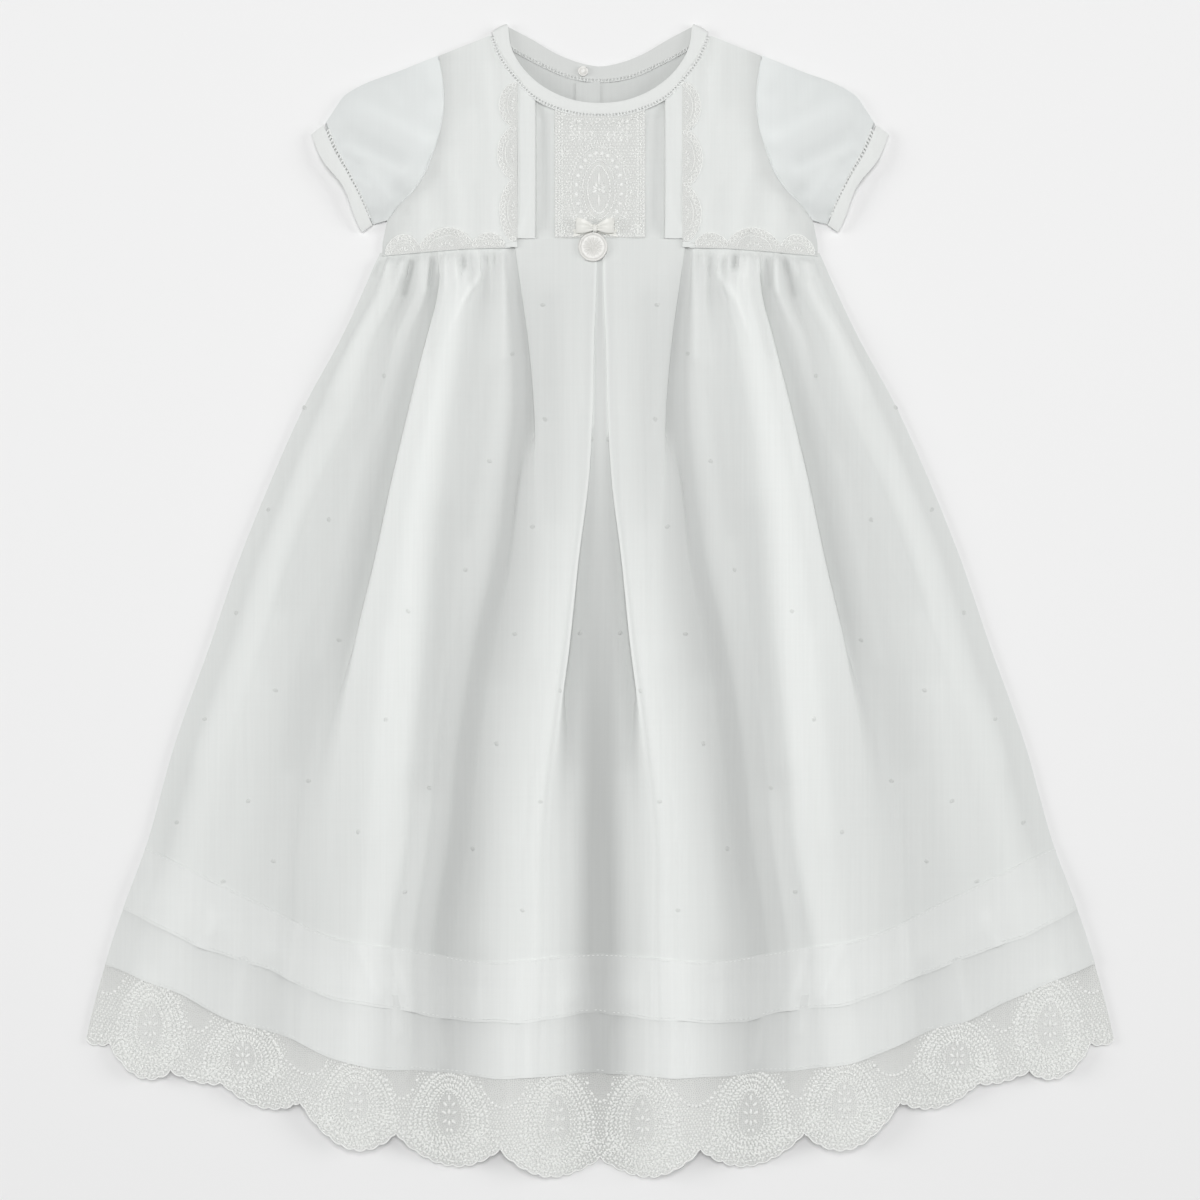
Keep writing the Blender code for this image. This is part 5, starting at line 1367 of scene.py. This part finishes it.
def ladder(stitching, inner, outer, bars, depth):
    """Short thread bars across an open seam, a cord along each side, and the seam's tape under them."""
    drops = np.array([[0, 0, depth]] * 2 + [[0, 0, depth + 0.2]] * 2)
    tape = np.stack([inner, outer, outer, inner], axis=1) - drops
    faces = [(0, 1, 2, 3), tuple(4 * len(tape) - 4 + k for k in (3, 2, 1, 0))]
    for r in range(0, 4 * len(tape) - 4, 4):
        faces += [(r + k, r + 4 + k, r + 4 + (k + 1) % 4, r + (k + 1) % 4) for k in range(4)]
    stitching.add(tape.reshape(-1, 3), faces)
    inner_line = along(inner, np.linspace(0, 1, bars), True)
    outer_line = along(outer, np.linspace(0, 1, bars), True)
    for a, b in zip(inner_line, outer_line):
        way = (b - a) / 6
        cord(stitching, [a - way, (a + b) / 2, b + way], BAR_RADIUS, 6)
    for line in (inner, outer):
        cord(stitching, along(line, np.linspace(0, 1, 3 * bars), True), SIDE_CORD, 5)


front_shares = np.linspace(0.015, 0.985, 91)
neck_outer = whole_curve(FRONT_NECK_OUTER)
ladder_z = smooth((0, 0.06, 0.12, 0.25, 0.4, 0.5), (3.0, 4.4, 5.9, 7.4, 6.2, 5.4),
                  np.minimum(front_shares, 1 - front_shares))
ladder_in = with_heights(along(neck_outer, front_shares), ladder_z)
middle_way = ladder_in[:, :2] - (0.0, 330.0)
middle_way /= np.linalg.norm(middle_way, axis=1, keepdims=True)
ladder_out = with_heights(ladder_in[:, :2] + NECK_GAP * 1.15 * middle_way, ladder_z - 0.3)
neck_ladder = Stitching()
ladder(neck_ladder, ladder_in, ladder_out, NECK_BARS, 0.6)
back_line = along(whole_curve(BACK_NECK_LOWER), np.linspace(0.03, 0.97, 61))
neck_ladder.piece("neck_ladder", THREAD, "binding")
back_ladder = Stitching()
ladder(back_ladder, with_heights(back_line + (0, 0.5), np.full(61, 1.2)),
       with_heights(back_line - (0, 1.2), np.full(61, 1.1)), BACK_BARS, 0.25)
# Painted shade, as on the back of the band inside the neck
back_ladder.piece("neck_back_ladder", BINDING_COTTON, "binding", [-4.2] * back_ladder.count)


# Bodice backs
# Two voile panels that lie flat and open down the middle, with a narrow strip over the opening and a
# small pearl button at the neck.

BACK_FOOT = WAIST_Y - 2.9
PLACKET_THICKNESS = 0.5
BUTTON_X, BUTTON_Y, BUTTON_Z, BUTTON_RADIUS = -9.6, 298.3, 1.75, 2.9
BUTTON_THREAD = 0.16
BUTTON_RINGS = ((0.0, 0.95), (0.35, 0.95), (0.6, 1.05), (0.8, 1.25), (0.94, 1.2), (1.0, 0.8), (0.98, 0.35),
                (0.8, 0.0), (0.0, 0.0))
PEARL_SHADES = ((0.60, 0.595, 0.565), (0.73, 0.725, 0.70))
back_neck = whole_curve(np.array(BACK_NECK_LOWER) - (0.0, 0.2))


def bodice_back(limit):
    """Points of the left back, from the armhole to the opening at limit."""
    armhole_line = with_heights(outer_edge, np.zeros(len(outer_edge)))
    shoulder_line = with_heights(along(SHOULDER, np.linspace(0, 1, 8), True), np.zeros(8)) - (0, 0.3, 0)
    neck_places = np.linspace(back_neck[0, 0], limit, 18)[1:]
    neck_part = np.stack([neck_places, smooth(back_neck[:, 0], back_neck[:, 1], neck_places),
                          np.zeros(17)], axis=1)
    top = np.vstack([shoulder_line, neck_part])
    armhole_line[0] = top[0]
    inner = np.array([top[-1], (limit, 240, 0), (limit, BACK_FOOT, 0)])
    bottom = along(np.array([armhole_line[-1], (-60, BACK_FOOT, 0), (limit, BACK_FOOT, 0)]), lengths(top))
    grid = patch(top, bottom, armhole_line, inner, lengths(outer_edge))
    x, y = grid[..., 0], grid[..., 1]
    grid[..., 2] = BACK_LAYER_Z + 0.12 * np.sin(x / 3.1 + y / 40) + 0.1 * np.sin(y / 7.0 + x / 15)
    return grid


for name, limit, flat, area in (("bodice_back_left", -7.1, (0.116, 0.125), 0.0111),
                                ("bodice_back_right", 6.9, (0.13, 0.125), 0.0125)):
    back_grid = bodice_back(limit)
    if name == "bodice_back_right":
        back_grid = mirrored(back_grid)
    # Painted shade inside the neck opening
    painted_neck_shade = ease((back_grid[..., 1] - 250) / 25) * ease((60 - np.abs(back_grid[..., 0])) / 10)
    made = cloth(name + "_cloth", back_grid, VOILE_THICKNESS, VOILE, "dotted_voile", [name],
                 painted_shade=-2.7 * painted_neck_shade)
placket_points = np.empty((30, 9, 3))
for c, x in enumerate(np.linspace(-13.6, 0.0, 9)):
    for r, y in enumerate(np.linspace(292.4 - 0.05 * abs(x), 206.5, 30)):
        placket_points[r, c] = (x, y, 1.55 + 0.12 * math.sin(y / 6.0) + 0.35 * math.sin(math.pi * c / 8) ** 2)
# Painted shade, darker towards the neck
placket = cloth("back_placket_cloth", placket_points, PLACKET_THICKNESS, VOILE, "dotted_voile",
                ["back_placket"], painted_shade=-2.3 * ease((placket_points[..., 1] - 250) / 25))


def turned(rings, radius, centre, z, segments, wobble=None):
    """A round body from (share of radius, height) rings."""
    around = np.linspace(0, 2 * np.pi, segments, endpoint=False)
    points = [(centre[0], centre[1], z + rings[0][1])]
    for share, height in rings[1:-1]:
        for angle in around:
            extra = wobble(share, angle) if wobble else 0.0
            points.append((centre[0] + radius * share * math.cos(angle),
                           centre[1] + radius * share * math.sin(angle), z + height + extra))
    points.append((centre[0], centre[1], z + rings[-1][1]))
    count = len(rings) - 2
    faces = []
    for c in range(segments):
        after = (c + 1) % segments
        faces.append((0, 1 + c, 1 + after))
        for r in range(count - 1):
            a = 1 + r * segments
            faces.append((a + c, a + segments + c, a + segments + after, a + after))
        base = 1 + (count - 1) * segments
        faces.append((len(points) - 1, base + after, base + c))
    return np.array(points), faces


PEARL = finished("pearl_shell", {"Roughness": 0.32, "Specular IOR Level": 0.4, "Coat Weight": 0.15,
                                 "Coat Roughness": 0.15})
tree = PEARL.node_tree
place = add_node(tree, "TexCoord", {}).outputs["Object"]
swirl = add_node(tree, "TexNoise", {"Vector": place, "Scale": 260.0, "Detail": 3.0, "Distortion": 2.0})
ramp = add_node(tree, "ValToRGB", {"Fac": swirl.outputs["Fac"]})
for stop, colour in zip(ramp.color_ramp.elements, PEARL_SHADES):
    stop.color = (*colour, 1.0)
tree.links.new(ramp.outputs["Color"], tree.nodes["Principled BSDF"].inputs["Base Color"])
add_piece("back_button_pearl", *turned(BUTTON_RINGS, BUTTON_RADIUS, (BUTTON_X, BUTTON_Y), BUTTON_Z, 32),
          PEARL, "pearl_shell", ["back_button"])
button_thread = Stitching()
for dx, dy in ((-0.55, 0.55), (0.55, -0.55)):
    cord(button_thread, [(BUTTON_X + dx, BUTTON_Y + dy + reach, BUTTON_Z + rise)
                         for reach, rise in ((-0.5, 1.0), (0.0, 1.2), (0.5, 1.0))], BUTTON_THREAD, 5)
button_thread.piece("back_button_thread", THREAD, "binding")


# Sleeves
# Short puffed sleeves of a plain, closer voile. The armhole seam is a soft ridge, and the cuff is
# bound like the neck, over a ladder of open holes.

SLEEVE_TOP = ((-91.4, 307.0), (-113, 298.3), (-136.2, 289.3), (-143.5, 284.8), (-151, 274.5), (-155.6, 267.5))
SLEEVE_UNDER = ((-119.9, 214.4), (-124, 213.2), (-128.6, 212.0))
CUFF_SEAM = ((-155.6, 267.5), (-150, 254), (-141, 238), (-133.5, 223.5), (-128.6, 212.0))
CUFF_EDGE = ((-162.4, 262.2), (-157, 249), (-144.1, 232.2), (-137.3, 214.1), (-134.5, 207.9))
SLEEVE_CREASES = (
    (136, 280, 97, 260, 5.0, 1.1), (144, 266, 112, 248, 4.5, -1.1), (140, 254, 110, 241, 4.5, 0.8),
    (113, 231, 106, 224, 4.0, -1.4), (131, 218, 121, 216, 3.5, -1.2), (128, 240, 118, 226, 3.5, 0.8),
    (100, 296, 95, 286, 3.5, -0.7), (148, 270, 141, 262, 2.2, 0.6), (143, 250, 136, 246, 2.0, -0.6),
    (137, 236, 130, 233, 2.0, 0.6), (120, 292, 112, 280, 4.0, 0.6),
)
SLEEVE_VOILE = woven("white_sleeve_voile", (0.812, 0.838, 0.83), pitch=0.4, streak=0.6, folds=(0.75, 1.08))
SLEEVE_THICKNESS = 0.4
CUFF_THICKNESS = 1.2
OPEN_SEAM = slice(3, 41)
CUFF_BARS = 26
ARMHOLE_CORD = 0.55
sleeve_shares = np.linspace(0, 1, 44)


def closed_tube(front, back, side):
    """A ring of points from a front layer and a back layer, on the wearer's side asked for."""
    ring = np.concatenate([front, back[:, ::-1]], axis=1)
    ring[..., 0] *= -side
    return ring


def sleeve_points(side, share_front, share_back):
    """A flattened tube: front puffed up, back flat. Rows run from the armhole to the cuff."""
    cuff_line = along(CUFF_SEAM, sleeve_shares)
    arm_line = along(ARMHOLE_POINTS, sleeve_shares)
    front, back = [patch(arm_line, cuff_line, SLEEVE_TOP, SLEEVE_UNDER, shares)
                   for shares in (share_front, share_back)]
    v = share_front[:, None]
    u = sleeve_shares[None, :]
    puff = smooth((0, 0.15, 0.4, 0.7, 0.9, 1.0), (2.8, 5.2, 6.6, 6.2, 5.0, 4.0), v)
    z = 2.4 + puff * np.sin(np.pi * u) ** 0.75
    x, y = np.abs(front[..., 0]), front[..., 1]
    soft = pressed(x, y, SLEEVE_CREASES) * np.sin(np.pi * u) ** 0.4
    soft += 0.25 * np.sin(u * 44 + 2 * v) * ease((v - 0.7) / 0.3) * np.sin(np.pi * u)
    soft += 0.3 * np.sin(u * 31 + side) * ease((0.25 - v) / 0.25) * np.sin(np.pi * u)
    front = np.dstack([front, z + soft])
    back = np.dstack([back, np.full(back.shape[:2], 0.35)])
    # Painted shade and light along the creases, a painted highlight along the armhole, and painted shade
    # towards the underarm; none on the back layer
    painted_shade = 2.0 * soft + 3.0 * np.exp(-(v / 0.2) ** 2) - 1.5 * ease((u - 0.7) / 0.3)
    return closed_tube(front, back, side), front * (-side, 1, 1), np.concatenate([painted_shade, 0.0 * painted_shade], axis=1)


def cuff_points(side, rows):
    """A flattened ring of binding. Rows run from the seam to the open edge."""
    inner = along(CUFF_SEAM, sleeve_shares)
    outer = along(CUFF_EDGE, sleeve_shares)
    front = np.empty((len(rows), len(sleeve_shares), 3))
    back = np.empty_like(front)
    for r, share in enumerate(rows):
        flat = inner + share * (outer - inner)
        z = 2.8 + (4.1 - 0.4 * share) * np.sin(np.pi * sleeve_shares) ** 0.8 + 0.5 * math.sin(math.pi * share)
        front[r] = with_heights(flat, z)
        back[r] = with_heights(flat, np.full(len(flat), 0.72))
    return closed_tube(front, back, side)


for side, name in ((-1, "left"), (1, "right")):
    ring, front, painted_shade = sleeve_points(side, np.linspace(0, 0.972, 26), np.linspace(0, 0.99, 26))
    sleeve = cloth("sleeve_" + name + "_cloth", ring, SLEEVE_THICKNESS, SLEEVE_VOILE, "sleeve_voile",
                   ["sleeve_" + name], ring=True, painted_shade=painted_shade)
    cuff_ring = cuff_points(side, np.linspace(0.02, 1, 7))
    cuff = cloth("cuff_" + name + "_cotton", cuff_ring, CUFF_THICKNESS, BINDING_COTTON, "binding",
                 ["cuff_" + name], ring=True)
    open_seam = Stitching()
    ladder(open_seam, front[-1, OPEN_SEAM], cuff_points(side, [0.06])[0, OPEN_SEAM], CUFF_BARS, 1.3)
    open_seam.piece("cuff_" + name + "_ladder", THREAD, "binding")
    seam = Stitching()
    arm = front[0, 1:-1]
    body_z = np.array([bodice_height(p[0] * 0.99, p[1]) for p in arm])
    cord(seam, with_heights(arm, np.maximum(body_z, arm[:, 2] * 0.8) + 0.1), ARMHOLE_CORD, 6)
    seam.piece("armhole_seam_" + name, SLEEVE_VOILE, "sleeve_voile")


# Bow
# A small flat bow of ivory satin ribbon, with two loops, two short tails and a knot. It is tied by
# hand and sewn to the foot of the lace panel.

BOW_X, BOW_Y, BOW_Z = -2.8, 209.2, 5.2
LOOP_PATH = ((1.0, 2.6), (3.8, 3.9), (7.2, 4.3), (9.8, 3.4), (10.7, 1.9), (9.5, 0.8), (6.8, 0.35),
             (3.8, 0.45), (1.0, 0.8))
LOOP_HALF_WIDTH = (1.3, 2.7, 3.7, 4.2, 4.2, 3.9, 3.1, 2.1, 1.3)
LOOP_THICKNESS, TAIL_THICKNESS = 0.3, 0.25
KNOT_SIDES = 32
KNOT_RINGS = ((-1.0, 0.35), (-0.92, 0.62), (-0.75, 0.85), (-0.4, 0.98), (0, 1.0), (0.4, 0.98), (0.75, 0.85),
              (0.92, 0.62), (1.0, 0.35))


SATIN = woven("ivory_satin_ribbon", (0.81, 0.81, 0.77), shade=0.97, pitch=0.22, bump=0.06, roughness=0.38,
              sheen=0.35)
for socket, value in (("Specular IOR Level", 0.5), ("Anisotropic", 0.4)):
    SATIN.node_tree.nodes["Principled BSDF"].inputs[socket].default_value = value
for side, name in ((-1, "left"), (1, "right")):
    loop_share = np.linspace(0, 1, 48)
    path = along(LOOP_PATH, loop_share)
    half_width = smooth(np.linspace(0, 1, 9), LOOP_HALF_WIDTH, loop_share)
    loop = np.empty((17, 48, 3))
    for r, across in enumerate(np.linspace(-1, 1, 17)):
        near = np.exp(-path[:, 0] / 4.0)
        fold = 0.55 * math.cos(across * 7.5) * near + 0.25 * math.cos(across * 4 + 1)
        cup = 0.5 * (1 - across**2)
        loop[r, :, 0] = BOW_X + side * path[:, 0]
        loop[r, :, 1] = BOW_Y + across * half_width + 0.14 * path[:, 0]
        loop[r, :, 2] = np.maximum(BOW_Z + path[:, 1] + (fold + cup) * (path[:, 1] > 1.5), PANEL_Z + 0.5)
    made = cloth("bow_loop_" + name + "_ribbon", loop, LOOP_THICKNESS, SATIN, "satin_ribbon",
                 ["bow_loop_" + name])
    tail = np.empty((7, 20, 3))
    for r, across in enumerate(np.linspace(-1, 1, 7)):
        for c, share in enumerate(np.linspace(0, 1, 20)):
            out = 2.0 + share * (10.8 - 1.2 * (1 - abs(across)))
            wide = 1.0 + 1.2 * share
            x, y = BOW_X + side * out, BOW_Y - 1.2 - 0.12 * out + across * wide
            tail[r, c] = (x, y, panel_height(x, y) + 0.7 + 0.2 * math.sin(3 * share) + 0.2 * (1 - across**2))
    ribbon_tail = cloth("bow_tail_" + name, tail, TAIL_THICKNESS, SATIN, "satin_ribbon")
knot_rings = []
turn = np.linspace(0, 2 * np.pi, KNOT_SIDES, endpoint=False)
for share, width in KNOT_RINGS:
    crease = 1 + 0.07 * np.cos(5 * turn + 2 * share)
    knot_rings.append(np.stack([BOW_X + 1.6 * width * crease * np.cos(turn), 0 * turn + BOW_Y + 2.2 * share,
                                BOW_Z + 2.1 + 1.7 * width * crease * np.sin(turn)], axis=1))
knot_ends = len(KNOT_RINGS) - 1
knot_faces = [tuple(range(KNOT_SIDES)), tuple(knot_ends * KNOT_SIDES + k for k in range(KNOT_SIDES))[::-1]]
for r in range(0, knot_ends * KNOT_SIDES, KNOT_SIDES):
    for k in range(KNOT_SIDES):
        after = (k + 1) % KNOT_SIDES
        knot_faces.append((r + k, r + KNOT_SIDES + k, r + KNOT_SIDES + after, r + after))
add_piece("bow_knot_ribbon", np.vstack(knot_rings), knot_faces, SATIN, "satin_ribbon", ["bow_knot"])


# Medal
# A thin round disc of pearl shell, turned with a raised rim and a plain fluted centre. It hangs from
# the bow by a thread.

MEDAL_X, MEDAL_Y, MEDAL_Z, MEDAL_RADIUS = -4.0, 198.6, 6.6, 8.3
MEDAL_THREAD = 0.35
FLUTES, FLUTE_HIGH, FLUTED_SHARE = 12, 0.13, 0.74
MEDAL_RINGS = ((0.0, 1.2), (0.1, 1.22), (0.25, 1.22), (0.4, 1.2), (0.55, 1.15), (0.66, 1.1), (0.76, 1.05),
               (0.81, 1.12), (0.86, 1.27), (0.91, 1.32), (0.95, 1.26), (0.985, 1.08), (1.0, 0.8), (1.0, 0.45),
               (0.97, 0.15), (0.9, 0.0), (0.0, 0.0))


def flutes(share, angle):
    """Low rays from the middle of the disc to its rim."""
    if share >= FLUTED_SHARE:
        return 0.0
    return FLUTE_HIGH * math.cos(FLUTES * angle) * math.sin(math.pi * share / FLUTED_SHARE)


add_piece("medal_shell", *turned(MEDAL_RINGS, MEDAL_RADIUS, (MEDAL_X, MEDAL_Y), MEDAL_Z, 96, flutes), PEARL,
          "pearl_shell", ["medal"])
hanger = Stitching()
cord(hanger, [(BOW_X, BOW_Y - 2.0, BOW_Z + 2.2), (MEDAL_X + 0.4, MEDAL_Y + 9.0, MEDAL_Z + 1.0),
              (MEDAL_X, MEDAL_Y + 7.2, MEDAL_Z + 1.5)], MEDAL_THREAD, 6)
hanger.piece("medal_thread", THREAD, "satin_ribbon")
